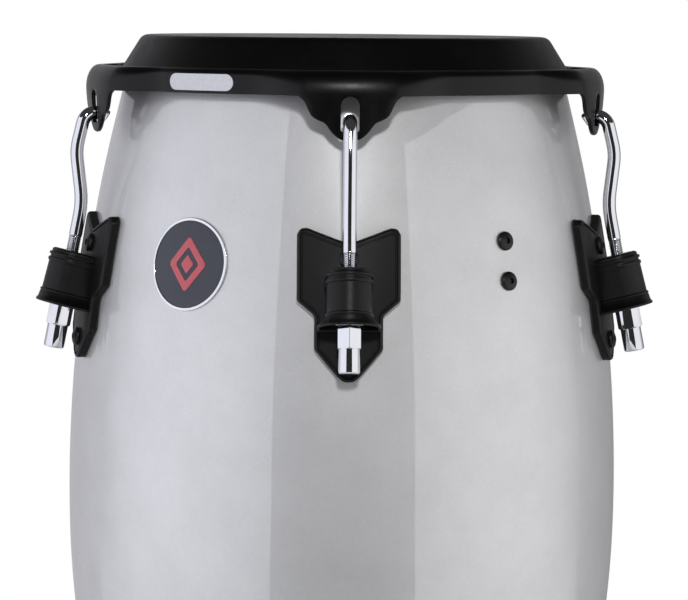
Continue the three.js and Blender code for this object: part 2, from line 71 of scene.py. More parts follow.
class Slot(Enum):
    """Material slots of the record."""

    LACQUER = "shell_lacquer"
    SKIN = "skin"
    SATIN = "satin_black"
    BLACK_STEEL = "black_steel"
    CHROME = "chrome"
    ZINC = "zinc_steel"
    RUBBER = "rubber"
    BADGE = "badge_metal"


class Body(Enum):
    """Moving bodies of the frame; rods and nuts are numbered by lug."""

    DRUM = "drum"
    RIM = "rim"
    ROD = "rod"
    NUT = "nut"

    def at(self, lug: int) -> str:
        """The frame's name of this body at a lug."""
        return self.value if self in (Body.DRUM, Body.RIM) else f"{self.value}_{lug}"


class Join(Enum):
    """How one solid is joined to another."""

    ADD = "UNION"
    CUT = "DIFFERENCE"
    KEEP_SHARED = "INTERSECT"


# Finishes and the patterns in them


class Graph:
    """Places and links the nodes of one node tree."""

    def __init__(self, tree: bpy.types.NodeTree) -> None:
        """Works in a tree."""
        self.tree = tree

    def add(self, kind: str, inputs: dict | None = None, **settings: object) -> bpy.types.Node:
        """Places a node.

        Args:
            kind: the node's type, without its ShaderNode prefix.
            inputs: sockets to fill, by name or number, with a value or another node's output.
            settings: attributes of the node.

        Returns:
            The new node.
        """
        node = self.tree.nodes.new(kind if kind.startswith("Node") else f"ShaderNode{kind}")
        for name, value in settings.items():
            setattr(node, name, value)
        for key, value in (inputs or {}).items():
            if isinstance(value, bpy.types.NodeSocket):
                self.tree.links.new(value, node.inputs[key])
            else:
                node.inputs[key].default_value = value
        return node

    def math(self, operation: str, *values: object) -> bpy.types.NodeSocket:
        """A Math node's result."""
        return self.add("Math", dict(enumerate(values)), operation=operation).outputs[0]

    def remap(self, value: bpy.types.NodeSocket, low: float, high: float, to_low: float = 0.0,
              to_high: float = 1.0) -> bpy.types.NodeSocket:
        """A value moved smoothly from one range to another, held at its ends."""
        sockets = {"Value": value, "From Min": low, "From Max": high, "To Min": to_low, "To Max": to_high}
        return self.add("MapRange", sockets, interpolation_type="SMOOTHSTEP").outputs["Result"]

    def noise(self, vector: bpy.types.NodeSocket, scale: object, detail: float = 3.0,
              roughness: float = 0.5) -> bpy.types.NodeSocket:
        """A noise between 0 and 1."""
        sockets = {"Vector": vector, "Scale": scale, "Detail": detail, "Roughness": roughness}
        return self.add("TexNoise", sockets).outputs["Fac"]

    def stretch(self, vector: bpy.types.NodeSocket, scale: tuple[float, float, float]) -> bpy.types.NodeSocket:
        """A vector scaled by axis."""
        return self.add("Mapping", {"Vector": vector, "Scale": scale}).outputs[0]

    def mix(self, share: object, first: object, second: object) -> bpy.types.NodeSocket:
        """A colour between two colours.

        Args:
            share: how much of the second.
            first: a colour or an output.
            second: a colour or an output.

        Returns:
            The mixed colour.
        """
        node = self.add("Mix", data_type="RGBA")
        for key, value in ((0, share), (6, first), (7, second)):
            if isinstance(value, bpy.types.NodeSocket):
                self.tree.links.new(value, node.inputs[key])
            else:
                node.inputs[key].default_value = value if key == 0 else (*value, 1.0)
        return node.outputs[2]


@dataclass
class SurfaceEffect:
    """A shader node group with named inputs, built once and placed in each material that uses it."""

    name: str
    inputs: dict[str, float]
    output: str
    build: Callable[[Graph, dict[str, bpy.types.NodeSocket]], bpy.types.NodeSocket]
    tree: bpy.types.NodeTree | None = None

    def make(self) -> bpy.types.NodeTree:
        """Builds the group the first time it is asked for.

        Returns:
            The group's node tree.
        """
        if self.tree is None:
            self.tree = bpy.data.node_groups.new(self.name, "ShaderNodeTree")
            self.tree.interface.new_socket("Vector", in_out="INPUT", socket_type="NodeSocketVector")
            for name, default in self.inputs.items():
                socket = self.tree.interface.new_socket(name, in_out="INPUT", socket_type="NodeSocketFloat")
                socket.default_value = default
            self.tree.interface.new_socket(self.output, in_out="OUTPUT", socket_type="NodeSocketFloat")
            graph = Graph(self.tree)
            entry = graph.add("NodeGroupInput")
            result = self.build(graph, {socket.name: socket for socket in entry.outputs if socket.name})
            graph.add("NodeGroupOutput", {self.output: result})
        return self.tree

    def place(self, graph: Graph, vector: bpy.types.NodeSocket, **values: float) -> bpy.types.NodeSocket:
        """Places the group in a material.

        Args:
            graph: the material's nodes.
            vector: where the effect is read.
            values: the group's inputs, with underscores for spaces.

        Returns:
            The group's output.
        """
        node = graph.add("Group", node_tree=self.make())
        graph.tree.links.new(vector, node.inputs["Vector"])
        for name, value in values.items():
            node.inputs[name.replace("_", " ").capitalize()].default_value = value
        return node.outputs[self.output]


def build_grain(graph: Graph, sockets: dict[str, bpy.types.NodeSocket]) -> bpy.types.NodeSocket:
    """Fine unevenness of a coated surface: a broad swell under a small grain.

    Args:
        graph: the group's nodes.
        sockets: the group's inputs.

    Returns:
        The height.
    """
    fine = graph.noise(sockets["Vector"], sockets["Scale"], 4.0, 0.6)
    broad = graph.noise(sockets["Vector"], graph.math("MULTIPLY", sockets["Scale"], 0.17), 2.0)
    return graph.math("ADD", graph.math("MULTIPLY", fine, 0.65), graph.math("MULTIPLY", broad, 0.35))


def build_dust(graph: Graph, sockets: dict[str, bpy.types.NodeSocket]) -> bpy.types.NodeSocket:
    """Separate specks: the middles of some cells of a cell pattern.

    Args:
        graph: the group's nodes.
        sockets: the group's inputs.

    Returns:
        The mask.
    """
    cells = graph.add("TexVoronoi", {"Vector": sockets["Vector"], "Scale": sockets["Scale"]})
    chosen = graph.math("LESS_THAN", cells.outputs["Color"], sockets["Share"])
    spot = graph.remap(cells.outputs["Distance"], 0.05, 0.16, 1.0, 0.0)
    return graph.math("MULTIPLY", chosen, spot)


def build_flake(graph: Graph, sockets: dict[str, bpy.types.NodeSocket]) -> bpy.types.NodeSocket:
    """Metal flakes: each cell has its own brightness."""
    cells = graph.add("TexVoronoi", {"Vector": sockets["Vector"], "Scale": sockets["Scale"]})
    return graph.add("SeparateColor", {"Color": cells.outputs["Color"]}).outputs[0]


def build_smudge(graph: Graph, sockets: dict[str, bpy.types.NodeSocket]) -> bpy.types.NodeSocket:
    """Wiped marks: patches where a stretched noise shows.

    Args:
        graph: the group's nodes.
        sockets: the group's inputs.

    Returns:
        The mask.
    """
    patches = graph.remap(graph.noise(sockets["Vector"], sockets["Scale"], 2.0), 0.46, 0.68)
    strokes = graph.noise(graph.stretch(sockets["Vector"], (1.0, 1.0, 0.22)),
                          graph.math("MULTIPLY", sockets["Scale"], 6.0), 5.0, 0.65)
    return graph.math("MULTIPLY", patches, strokes)


def build_wear(graph: Graph, sockets: dict[str, bpy.types.NodeSocket]) -> bpy.types.NodeSocket:
    """Worn edges: where the surface stands out, broken up by noise.

    Args:
        graph: the group's nodes.
        sockets: the group's inputs.

    Returns:
        The mask.
    """
    edges = graph.add("NewGeometry").outputs["Pointiness"]
    sharp = graph.remap(edges, 0.53, 0.60)
    broken = graph.remap(graph.noise(sockets["Vector"], sockets["Scale"], 4.0), 0.42, 0.62)
    return graph.math("MULTIPLY", sharp, broken)


GRAIN = SurfaceEffect("Coating grain", {"Scale": 900.0}, "Height", build_grain)
DUST = SurfaceEffect("Dust specks", {"Scale": 60.0, "Share": 0.1}, "Mask", build_dust)
FLAKE = SurfaceEffect("Metal flake", {"Scale": 2500.0}, "Brightness", build_flake)
SMUDGE = SurfaceEffect("Wiped marks", {"Scale": 12.0}, "Mask", build_smudge)
WEAR = SurfaceEffect("Worn edges", {"Scale": 300.0}, "Mask", build_wear)


def shade(share: float, colour: Colour) -> Colour:
    """A colour made darker or lighter by a share."""
    return tuple(share * part for part in colour)


@dataclass(frozen=True)
class Finish:
    """Base of every finish: a name, a colour and a roughness."""

    name: str = "Finish"
    colour: Colour = (0.5, 0.5, 0.5)
    roughness: float = 0.4

    def dress(self, graph: Graph, place: bpy.types.NodeSocket, surface: bpy.types.Node) -> None:
        """Links the finish's patterns to the surface shader."""
        raise NotImplementedError

    def plain_values(self) -> dict[str, object]:
        """Socket values that are the same all over the surface."""
        return {}

    def bump(self, graph: Graph, surface: bpy.types.Node, height: bpy.types.NodeSocket, distance: float,
             strength: float = 1.0) -> None:
        """Links a height pattern to the surface's normal.

        Args:
            graph: the material's nodes.
            surface: the surface shader.
            height: the pattern.
            distance: height of the pattern in metres.
            strength: how much of it shows.
        """
        node = graph.add("Bump", {"Height": height, "Distance": distance, "Strength": strength})
        graph.tree.links.new(node.outputs[0], surface.inputs["Normal"])

    def material(self) -> bpy.types.Material:
        """Builds the material once.

        Returns:
            The material of this finish.
        """
        made = bpy.data.materials.get(self.name)
        if made:
            return made
        made = bpy.data.materials.new(self.name)
        made.use_nodes = True
        graph = Graph(made.node_tree)
        surface = made.node_tree.nodes["Principled BSDF"]
        surface.inputs["Base Color"].default_value = (*self.colour, 1.0)
        surface.inputs["Roughness"].default_value = self.roughness
        for name, value in self.plain_values().items():
            surface.inputs[name].default_value = value
        self.dress(graph, graph.add("TexCoord").outputs["Object"], surface)
        return made


@dataclass(frozen=True)
class LacquerFinish(Finish):
    """Silver-grey metallic lacquer: metal flake under a clear gloss coat."""

    name: str = "Silver lacquer"
    colour: Colour = (0.72, 0.72, 0.725)
    roughness: float = 0.57
    metallic: float = 0.95
    flake_share: float = 0.07
    mottle_share: float = 0.035
    dust_share: float = 0.12
    smudge_share: float = 0.06
    swell: float = 0.00006
    coat_roughness: float = 0.02
    coat_ior: float = 1.75

    def plain_values(self) -> dict[str, object]:
        """The clear coat."""
        return {"Metallic": self.metallic, "Coat Weight": 1.0, "Coat Roughness": self.coat_roughness,
                "Coat IOR": self.coat_ior}

    def dress(self, graph: Graph, place: bpy.types.NodeSocket, surface: bpy.types.Node) -> None:
        """Flake and mottling in the colour, wiped marks in the roughness, dust and swell in the coat.

        Args:
            graph: the material's nodes.
            place: where the patterns are read.
            surface: the surface shader.
        """
        flake = graph.remap(FLAKE.place(graph, place, scale=4200.0), 0.0, 1.0, -self.flake_share, self.flake_share)
        mottle = graph.remap(graph.noise(place, scale=26.0, detail=4.0, roughness=0.6), 0.25, 0.75, -self.mottle_share,
                              self.mottle_share)
        dust = DUST.place(graph, place, scale=85.0, share=0.05)
        bright = graph.math("ADD", graph.math("ADD", flake, mottle), 1.0)
        bright = graph.math("ADD", bright, graph.math("MULTIPLY", dust, self.dust_share))
        tone = graph.mix(graph.math("MULTIPLY", bright, 0.5), (0.0, 0.0, 0.0), shade(2.0, self.colour))
        graph.tree.links.new(tone, surface.inputs["Base Color"])
        smudge = SMUDGE.place(graph, place, scale=7.0)
        rough = graph.math("ADD", graph.math("MULTIPLY", smudge, self.smudge_share), self.roughness)
        graph.tree.links.new(rough, surface.inputs["Roughness"])
        swell = graph.math("ADD", graph.noise(place, scale=42.0, detail=1.0), graph.math("MULTIPLY", dust, 0.3))
        self.bump(graph, surface, swell, self.swell)


@dataclass(frozen=True)
class LaminateFinish(Finish):
    """Bare glass-fibre inside the shell: resin over chopped strands."""

    name: str = "Glass-fibre laminate"
    colour: Colour = (0.36, 0.35, 0.32)
    roughness: float = 0.55
    patchiness: float = 0.14
    strand_height: float = 0.0006

    def dress(self, graph: Graph, place: bpy.types.NodeSocket, surface: bpy.types.Node) -> None:
        """Strands in two directions, in colour and height.

        Args:
            graph: the material's nodes.
            place: where the patterns are read.
            surface: the surface shader.
        """
        strands = [graph.noise(graph.stretch(place, scale), scale=160.0, detail=3.0, roughness=0.6)
                   for scale in ((1.0, 1.0, 0.12), (0.15, 0.15, 1.0))]
        weave = graph.math("MAXIMUM", *strands)
        tone = graph.mix(graph.remap(weave, 0.45, 0.75), shade(0.62, self.colour), shade(1.25, self.colour))
        graph.tree.links.new(tone, surface.inputs["Base Color"])
        rough = graph.remap(graph.noise(place, scale=18.0), 0.3, 0.7, self.roughness - self.patchiness,
                            self.roughness + self.patchiness)
        graph.tree.links.new(rough, surface.inputs["Roughness"])
        self.bump(graph, surface, weave, self.strand_height)


@dataclass(frozen=True)
class SkinFinish(Finish):
    """Black drum skin: a faint hide grain, scuffed a little where the hands land."""

    name: str = "Black drum skin"
    colour: Colour = (0.002, 0.002, 0.0021)
    roughness: float = 0.4
    specular: float = 0.2
    scuff_roughness: float = 0.12
    hide_height: float = 0.00009

    def plain_values(self) -> dict[str, object]:
        """How strongly it mirrors."""
        return {"Specular IOR Level": self.specular}

    def dress(self, graph: Graph, place: bpy.types.NodeSocket, surface: bpy.types.Node) -> None:
        """Hide grain, scuffs and dust.

        Args:
            graph: the material's nodes.
            place: where the patterns are read.
            surface: the surface shader.
        """
        grain = GRAIN.place(graph, place, scale=620.0)
        scuff = SMUDGE.place(graph, place, scale=16.0)
        dust = DUST.place(graph, place, scale=120.0, share=0.06)
        marks = graph.math("ADD", graph.math("MULTIPLY", scuff, 0.35), graph.math("MULTIPLY", dust, 0.5))
        graph.tree.links.new(graph.mix(marks, self.colour, shade(3.2, self.colour)), surface.inputs["Base Color"])
        rough = graph.math("ADD", graph.remap(grain, 0.3, 0.7, -0.05, 0.05), self.roughness)
        rough = graph.math("ADD", rough, graph.math("MULTIPLY", scuff, self.scuff_roughness))
        graph.tree.links.new(rough, surface.inputs["Roughness"])
        self.bump(graph, surface, grain, self.hide_height)


@dataclass(frozen=True)
class PowderFinish(Finish):
    """Satin black powder coat: a fine orange-peel, dulled at the edges, with a little dust."""

    name: str = "Satin powder coat"
    colour: Colour = (0.002, 0.002, 0.0022)
    roughness: float = 0.31
    peel: float = 0.00005
    specular: float = 0.24
    sheen: float = 0.1
    sheen_roughness: float = 0.3
    smudge_roughness: float = 0.12

    def plain_values(self) -> dict[str, object]:
        """How strongly it mirrors, and its dusty bloom seen at a low angle."""
        return {"Specular IOR Level": self.specular, "Sheen Weight": self.sheen,
                "Sheen Roughness": self.sheen_roughness}

    def dress(self, graph: Graph, place: bpy.types.NodeSocket, surface: bpy.types.Node) -> None:
        """Peel in the height, wear and dust in the colour, smudges in the roughness.

        Args:
            graph: the material's nodes.
            place: where the patterns are read.
            surface: the surface shader.
        """
        peel = GRAIN.place(graph, place, scale=780.0)
        wear = WEAR.place(graph, place, scale=240.0)
        dust = DUST.place(graph, place, scale=140.0, share=0.05)
        marks = graph.math("ADD", graph.math("MULTIPLY", wear, 0.5), graph.math("MULTIPLY", dust, 0.4))
        graph.tree.links.new(graph.mix(marks, self.colour, shade(4.0, self.colour)), surface.inputs["Base Color"])
        smudge = SMUDGE.place(graph, place, scale=30.0)
        rough = graph.math("ADD", graph.math("MULTIPLY", smudge, self.smudge_roughness), self.roughness)
        rough = graph.math("ADD", rough, graph.remap(peel, 0.3, 0.7, -0.04, 0.04))
        graph.tree.links.new(rough, surface.inputs["Roughness"])
        self.bump(graph, surface, peel, self.peel)


@dataclass(frozen=True)
class MetalFinish(Finish):
    """Bare or plated metal: fine lengthwise marks and finger smudges in its gloss."""

    name: str = "Chrome plate"
    colour: Colour = (0.70, 0.71, 0.74)
    roughness: float = 0.05
    smudge: float = 0.08
    marks: float = 0.000004
    metallic: float = 1.0

    def plain_values(self) -> dict[str, object]:
        """How metallic it is."""
        return {"Metallic": self.metallic}

    def dress(self, graph: Graph, place: bpy.types.NodeSocket, surface: bpy.types.Node) -> None:
        """Smudges in the roughness and colour, fine marks in the height.

        Args:
            graph: the material's nodes.
            place: where the patterns are read.
            surface: the surface shader.
        """
        smudge = SMUDGE.place(graph, place, scale=38.0)
        lines = graph.noise(graph.stretch(place, (1.0, 1.0, 0.08)), scale=1500.0, detail=2.0)
        rough = graph.math("ADD", graph.math("MULTIPLY", smudge, self.smudge), self.roughness)
        graph.tree.links.new(rough, surface.inputs["Roughness"])
        tone = graph.mix(graph.math("MULTIPLY", smudge, 0.3), self.colour, shade(0.82, self.colour))
        graph.tree.links.new(tone, surface.inputs["Base Color"])
        self.bump(graph, surface, lines, self.marks)


@dataclass(frozen=True)
class RubberFinish(Finish):
    """Matt black rubber with a dusty bloom."""

    name: str = "Black rubber"
    colour: Colour = (0.014, 0.014, 0.014)
    roughness: float = 0.75
    grain_height: float = 0.00012

    def dress(self, graph: Graph, place: bpy.types.NodeSocket, surface: bpy.types.Node) -> None:
        """Bloom in the colour, grain in the height.

        Args:
            graph: the material's nodes.
            place: where the patterns are read.
            surface: the surface shader.
        """
        bloom = graph.remap(graph.noise(place, scale=34.0, detail=4.0), 0.35, 0.75)
        graph.tree.links.new(graph.mix(bloom, self.colour, shade(2.0, self.colour)), surface.inputs["Base Color"])
        rough = graph.math("ADD", graph.math("MULTIPLY", bloom, 0.1), self.roughness)
        graph.tree.links.new(rough, surface.inputs["Roughness"])
        self.bump(graph, surface, GRAIN.place(graph, place, scale=500.0), self.grain_height)


@dataclass(frozen=True)
class EnamelFinish(Finish):
    """Smooth enamel on the badge and the label: a thin gloss over a nearly even colour."""

    name: str = "Dark enamel"
    colour: Colour = (0.036, 0.040, 0.062)
    roughness: float = 0.45
    coat: float = 0.25
    coat_roughness: float = 0.08
    ripple: float = 0.00001

    def plain_values(self) -> dict[str, object]:
        """The gloss."""
        return {"Coat Weight": self.coat, "Coat Roughness": self.coat_roughness}

    def dress(self, graph: Graph, place: bpy.types.NodeSocket, surface: bpy.types.Node) -> None:
        """Fine speckle in the colour and a slight ripple in the height.

        Args:
            graph: the material's nodes.
            place: where the patterns are read.
            surface: the surface shader.
        """
        speckle = graph.remap(graph.noise(place, scale=420.0, detail=3.0), 0.3, 0.7)
        tone = graph.mix(speckle, shade(0.96, self.colour), shade(1.03, self.colour))
        graph.tree.links.new(tone, surface.inputs["Base Color"])
        rough = graph.math("ADD", graph.math("MULTIPLY", SMUDGE.place(graph, place, scale=45.0), 0.1), self.roughness)
        graph.tree.links.new(rough, surface.inputs["Roughness"])
        self.bump(graph, surface, graph.noise(place, scale=260.0), self.ripple)


LACQUER = LacquerFinish()
LAMINATE = LaminateFinish()
BLACK_SKIN = SkinFinish()
POWDER = PowderFinish()
CAST_COAT = PowderFinish("Satin casting coat", roughness=0.42, specular=0.3, sheen=0.06)
CHROME = MetalFinish()
POLISHED = MetalFinish("Polished border", (0.74, 0.75, 0.77), 0.2)
ZINC = MetalFinish("Zinc plate", (0.52, 0.53, 0.54), 0.32, 0.15, 0.00001)
OXIDE = MetalFinish("Black oxide steel", (0.010, 0.010, 0.011), 0.36, 0.15, 0.000008, 0.3)
RUBBER = RubberFinish()
FIELD = EnamelFinish()
EMBLEM = EnamelFinish("Red enamel", (0.70, 0.11, 0.14), 0.4, 0.25)
LABEL = EnamelFinish("Pale print", (0.80, 0.81, 0.86), 0.4, 0.3)


# Making shapes


def lerp(low: float, high: float, share: float) -> float:
    """A value between two values."""
    return low + (high - low) * share


def smooth(share: float) -> float:
    """A share eased at both ends, held between 0 and 1."""
    share = min(max(share, 0.0), 1.0)
    return share * share * (3 - 2 * share)


@dataclass(frozen=True)
class SmoothLine:
    """A smooth line through points of rising position."""

    points: tuple[Point, ...]

    def slope(self, i: int) -> float:
        """The slope at a point, flat where the line turns back.

        Args:
            i: the point's number.

        Returns:
            The slope.
        """
        if i in (0, len(self.points) - 1):
            (x0, y0), (x1, y1) = self.points[:2] if i == 0 else self.points[-2:]
            return (y1 - y0) / (x1 - x0)
        (x0, y0), (x1, y1), (x2, y2) = self.points[i - 1:i + 2]
        before, after = (y1 - y0) / (x1 - x0), (y2 - y1) / (x2 - x1)
        if before * after <= 0:
            return 0.0
        share = (x1 - x0) / (x2 - x0)
        mean = before * (1 - share) + after * share
        steepest = 3 * min(abs(before), abs(after))
        return math.copysign(min(abs(mean), steepest), mean)

    def at(self, position: float) -> float:
        """The line's value at a position, held beyond its ends.

        Args:
            position: where to read the line.

        Returns:
            The value.
        """
        if position <= self.points[0][0]:
            return self.points[0][1]
        if position >= self.points[-1][0]:
            return self.points[-1][1]
        i = bisect_right([x for x, _ in self.points], position) - 1
        (x0, y0), (x1, y1) = self.points[i:i + 2]
        span = x1 - x0
        t = (position - x0) / span
        m0, m1 = self.slope(i) * span, self.slope(i + 1) * span
        return ((2 * t**3 - 3 * t**2 + 1) * y0 + (t**3 - 2 * t**2 + t) * m0 + (3 * t**2 - 2 * t**3) * y1
                + (t**3 - t**2) * m1)


def arc(centre: Point, radius: float, start: float, end: float, count: int) -> list[Point]:
    """Points of an arc.

    Args:
        centre: the arc's centre.
        radius: its radius.
        start: first angle in degrees from the first axis.
        end: last angle in degrees.
        count: how many points.

    Returns:
        The points in order.
    """
    angles = [math.radians(lerp(start, end, i / (count - 1))) for i in range(count)]
    return [(centre[0] + radius * math.cos(a), centre[1] + radius * math.sin(a)) for a in angles]


def chain(points: Sequence[Point], closed: bool = False) -> bmesh.types.BMesh:
    """A wire in the XZ plane.

    Args:
        points: distance from the axis and height.
        closed: whether the last point joins the first.

    Returns:
        The wire as a mesh.
    """
    bm = bmesh.new()
    corners = [bm.verts.new((x, 0.0, z)) for x, z in points]
    for pair in zip(corners, corners[1:] + corners[:1] if closed else corners[1:]):
        bm.edges.new(pair)
    return bm


def rounded(points: Sequence[Point], rounds: Sequence[float], segments: int = 4) -> bmesh.types.BMesh:
    """A closed flat outline with some corners rounded, as one face in the XZ plane.

    Args:
        points: the outline's corners.
        rounds: the radius at each corner, 0 where it stays sharp; corners past the last stay sharp too.
        segments: steps of each round.

    Returns:
        The outline as a mesh of one face.
    """
    bm = chain(points, closed=True)
    bm.verts.ensure_lookup_table()
    corners = list(bm.verts)
    bm.faces.new(corners)
    by_radius: dict[float, list[bmesh.types.BMVert]] = {}
    for corner, radius in zip(corners, rounds):
        if radius:
            by_radius.setdefault(radius, []).append(corner)
    for radius, group in by_radius.items():
        bmesh.ops.bevel(bm, geom=group, offset=radius, offset_type="OFFSET", segments=segments, profile=0.5,
                        affect="VERTICES", material=-1)
    return bm


def turned(bm: bmesh.types.BMesh, steps: int) -> bmesh.types.BMesh:
    """Turns a wire, or the edge of a flat outline, fully round the Z axis into a closed shape.

    Args:
        bm: the wire or outline, which becomes the shape.
        steps: how many steps round.

    Returns:
        The same mesh.
    """
    if bm.faces:
        bmesh.ops.delete(bm, geom=list(bm.faces), context="FACES_ONLY")
    bmesh.ops.spin(bm, geom=list(bm.verts) + list(bm.edges), cent=(0, 0, 0), axis=(0, 0, 1), dvec=(0, 0, 0),
                   angle=2 * math.pi, steps=steps, use_merge=True, use_duplicate=False)
    return cleaned(bm)


def cleaned(bm: bmesh.types.BMesh, closest: float = 2 * SAME_POINT) -> bmesh.types.BMesh:
    """Merges doubled points and turns the faces outwards.

    Args:
        bm: the mesh.
        closest: how near two points are one.

    Returns:
        The same mesh.
    """
    bmesh.ops.remove_doubles(bm, verts=list(bm.verts), dist=closest)
    bmesh.ops.dissolve_degenerate(bm, edges=list(bm.edges), dist=closest)
    bmesh.ops.recalc_face_normals(bm, faces=list(bm.faces))
    return bm


def raised(bm: bmesh.types.BMesh, depth: float) -> list[bmesh.types.BMFace]:
    """Pushes a flat outline along -Y into a solid, keeping its first face as the back.

    Args:
        bm: the outline.
        depth: how far its front stands out.

    Returns:
        The front faces.
    """
    back = list(bm.faces)
    made = bmesh.ops.extrude_face_region(bm, geom=back, use_keep_orig=True)["geom"]
    bmesh.ops.translate(bm, vec=(0, -depth, 0), verts=[v for v in made if isinstance(v, bmesh.types.BMVert)])
    bmesh.ops.recalc_face_normals(bm, faces=list(bm.faces))
    return [f for f in made if isinstance(f, bmesh.types.BMFace)]


def border(faces: Iterable[bmesh.types.BMFace]) -> list[bmesh.types.BMEdge]:
    """The edges round a group of faces.

    Args:
        faces: the group.

    Returns:
        The edges with the group on one side only.
    """
    group = set(faces)
    edges = {edge for face in group for edge in face.edges}
    return [edge for edge in edges if sum(face in group for face in edge.link_faces) == 1]


def rise_of(edge: bmesh.types.BMEdge) -> float:
    """How far an edge climbs along Z."""
    return abs(edge.verts[0].co.z - edge.verts[1].co.z)


def bevel_edges(bm: bmesh.types.BMesh, edges: Sequence[bmesh.types.BMEdge], width: float,
                segments: int = 3) -> list[bmesh.types.BMFace]:
    """Rounds edges and returns the faces made."""
    return bmesh.ops.bevel(bm, geom=list(edges), offset=width, offset_type="OFFSET", segments=segments, profile=0.5,
                           affect="EDGES", material=-1, clamp_overlap=True)["faces"]


@dataclass(frozen=True)
class RoundedOutline:
    """A closed outline, clockwise in the XZ plane, with a radius at each corner."""

    corners: tuple[Point, ...]
    radii: tuple[float, ...]
    steps: int = 5
    sharpest: float = 0.2

    def normals(self, i: int) -> tuple[Vector, Vector]:
        """The inward directions of the sides before and after a corner.

        Args:
            i: the corner's number.

        Returns:
            Both directions.
        """
        points = [Vector(self.corners[(i + k) % len(self.corners)]) for k in (-1, 0, 1)]
        sides = [(b - a).normalized() for a, b in zip(points, points[1:])]
        return tuple(Vector((side.y, -side.x)) for side in sides)

    def moved_in(self, inset: float) -> list[Point]:
        """The outline's points when it is moved inwards, with every round kept concentric.

        Args:
            inset: how far inwards.

        Returns:
            The same number of points for every inset.
        """
        points = []
        for i, (corner, radius) in enumerate(zip(self.corners, self.radii)):
            before, after = self.normals(i)
            convex = before.x * after.y - before.y * after.x < 0
            arm = max(radius - inset, self.sharpest) if convex else -(radius + inset)
            centre = Vector(corner) + (before + after) * ((inset + arm) / (1 + before.dot(after)))
            for step in range(self.steps):
                out = before.slerp(after, step / (self.steps - 1))
                points.append(tuple(centre - out * arm))
        return points

    def solid(self, rings: Sequence[Point]) -> bmesh.types.BMesh:
        """A solid with its front along -Y, from rings of this outline.

        Args:
            rings: inset and reach of each ring, from the back, which reaches nowhere, to the front.

        Returns:
            The solid.
        """
        bm = chain(self.moved_in(rings[0][0]), closed=True)
        corners, edges = list(bm.verts), list(bm.edges)
        bm.faces.new(corners)
        for inset, reach in rings[1:]:
            order = {tuple(v.co): i for i, v in enumerate(corners)}
            made = bmesh.ops.extrude_edge_only(bm, edges=edges)["geom"]
            corners = sorted((v for v in made if isinstance(v, bmesh.types.BMVert)), key=lambda v: order[tuple(v.co)])
            edges = [e for e in made if isinstance(e, bmesh.types.BMEdge) and set(e.verts) <= set(corners)]
            for v, (x, z) in zip(corners, self.moved_in(inset)):
                v.co = (x, -reach, z)
        bm.faces.new(corners)
        return cleaned(bm)


def sliced(bm: bmesh.types.BMesh, spacing: float) -> bmesh.types.BMesh:
    """Cuts a flat solid across and along, so that it can bend round the drum.

    Args:
        bm: the solid.
        spacing: the widest slice.

    Returns:
        The same mesh.
    """
    for axis in (0, 2):
        places = [v.co[axis] for v in bm.verts]
        low, high = min(places), max(places)
        count = max(1, round((high - low) / spacing))
        for i in range(1, count):
            point = [0.0, 0.0, 0.0]
            point[axis] = lerp(low, high, i / count)
            normal = [0.0, 0.0, 0.0]
            normal[axis] = 1.0
            bmesh.ops.bisect_plane(bm, geom=[*bm.verts, *bm.edges, *bm.faces], dist=ON_PLANE, plane_co=point,
                                   plane_no=normal)
    return bm


def to_object(bm: bmesh.types.BMesh, name: str) -> bpy.types.Object:
    """Puts a mesh in the scene and frees the working copy.

    Args:
        bm: the working copy.
        name: the object's name.

    Returns:
        The object.
    """
    mesh = bpy.data.meshes.new(name)
    bm.to_mesh(mesh)
    bm.free()
    obj = bpy.data.objects.new(name, mesh)
    bpy.context.scene.collection.objects.link(obj)
    return obj


def joined(base: bmesh.types.BMesh, tools: Iterable[bmesh.types.BMesh], how: Join) -> bmesh.types.BMesh:
    """Joins closed solids or cuts one with others.

    Args:
        base: the solid that is changed.
        tools: the solids it is joined to or cut with.
        how: whether they are added, cut away, or only the shared part is kept.

    Returns:
        The result.
    """
    target = to_object(base, "base")
    helpers = [to_object(tool, "tool") for tool in tools]
    for helper in helpers:
        modifier = target.modifiers.new("join", "BOOLEAN")
        modifier.operation = how.value
        modifier.solver = "EXACT"
        modifier.object = helper
    evaluated = target.evaluated_get(bpy.context.evaluated_depsgraph_get())
    bm = bmesh.new()
    bm.from_mesh(evaluated.to_mesh())
    evaluated.to_mesh_clear()
    for obj in (target, *helpers):
        mesh = obj.data
        bpy.data.objects.remove(obj)
        bpy.data.meshes.remove(mesh)
    bmesh.ops.remove_doubles(bm, verts=list(bm.verts), dist=SAME_POINT)
    return bm


@dataclass
class Piece:
    """A finished shape in millimetres, waiting to be placed on the drum."""

    name: str
    shape: bmesh.types.BMesh
    finish: Finish
    slot: Slot
    body: Body = Body.DRUM
    replaces: tuple[str, ...] = ()
    extra_finishes: tuple[Finish, ...] = ()
    sharp: float = 32.0

    def place(self, azimuths: Sequence[float] = (0.0,), numbered: bool = False,
              moves: bool = True) -> list[bpy.types.Object]:
        """Places a copy of the piece at each azimuth, in metres, and dresses it.

        Args:
            azimuths: where round the drum.
            numbered: whether names and frame nodes end in the lug's number.
            moves: whether it rides on its body.

        Returns:
            The placed objects.
        """
        placed = []
        for i, azimuth in enumerate(azimuths, 1):
            ending = f"_{i}" if numbered else ""
            move = Matrix.Translation((0, AXIS_Y * MM, 0)) @ Matrix.Rotation(azimuth, 4, "Z") @ Matrix.Scale(MM, 4)
            copy = self.shape.copy()
            copy.transform(move)
            obj = to_object(copy, f"{self.name}{ending}")
            obj.data.shade_smooth()
            obj.data.set_sharp_from_angle(angle=math.radians(self.sharp))
            for finish in (self.finish, *self.extra_finishes):
                obj.data.materials.append(finish.material())
            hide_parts(*[f"{node}{ending}" for node in self.replaces])
            if moves:
                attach(obj, self.body.at(i))
            placed.append(obj)
        log.info("%s: %d placed, %d faces each", self.name, len(placed), len(self.shape.faces))
        self.shape.free()
        return placed


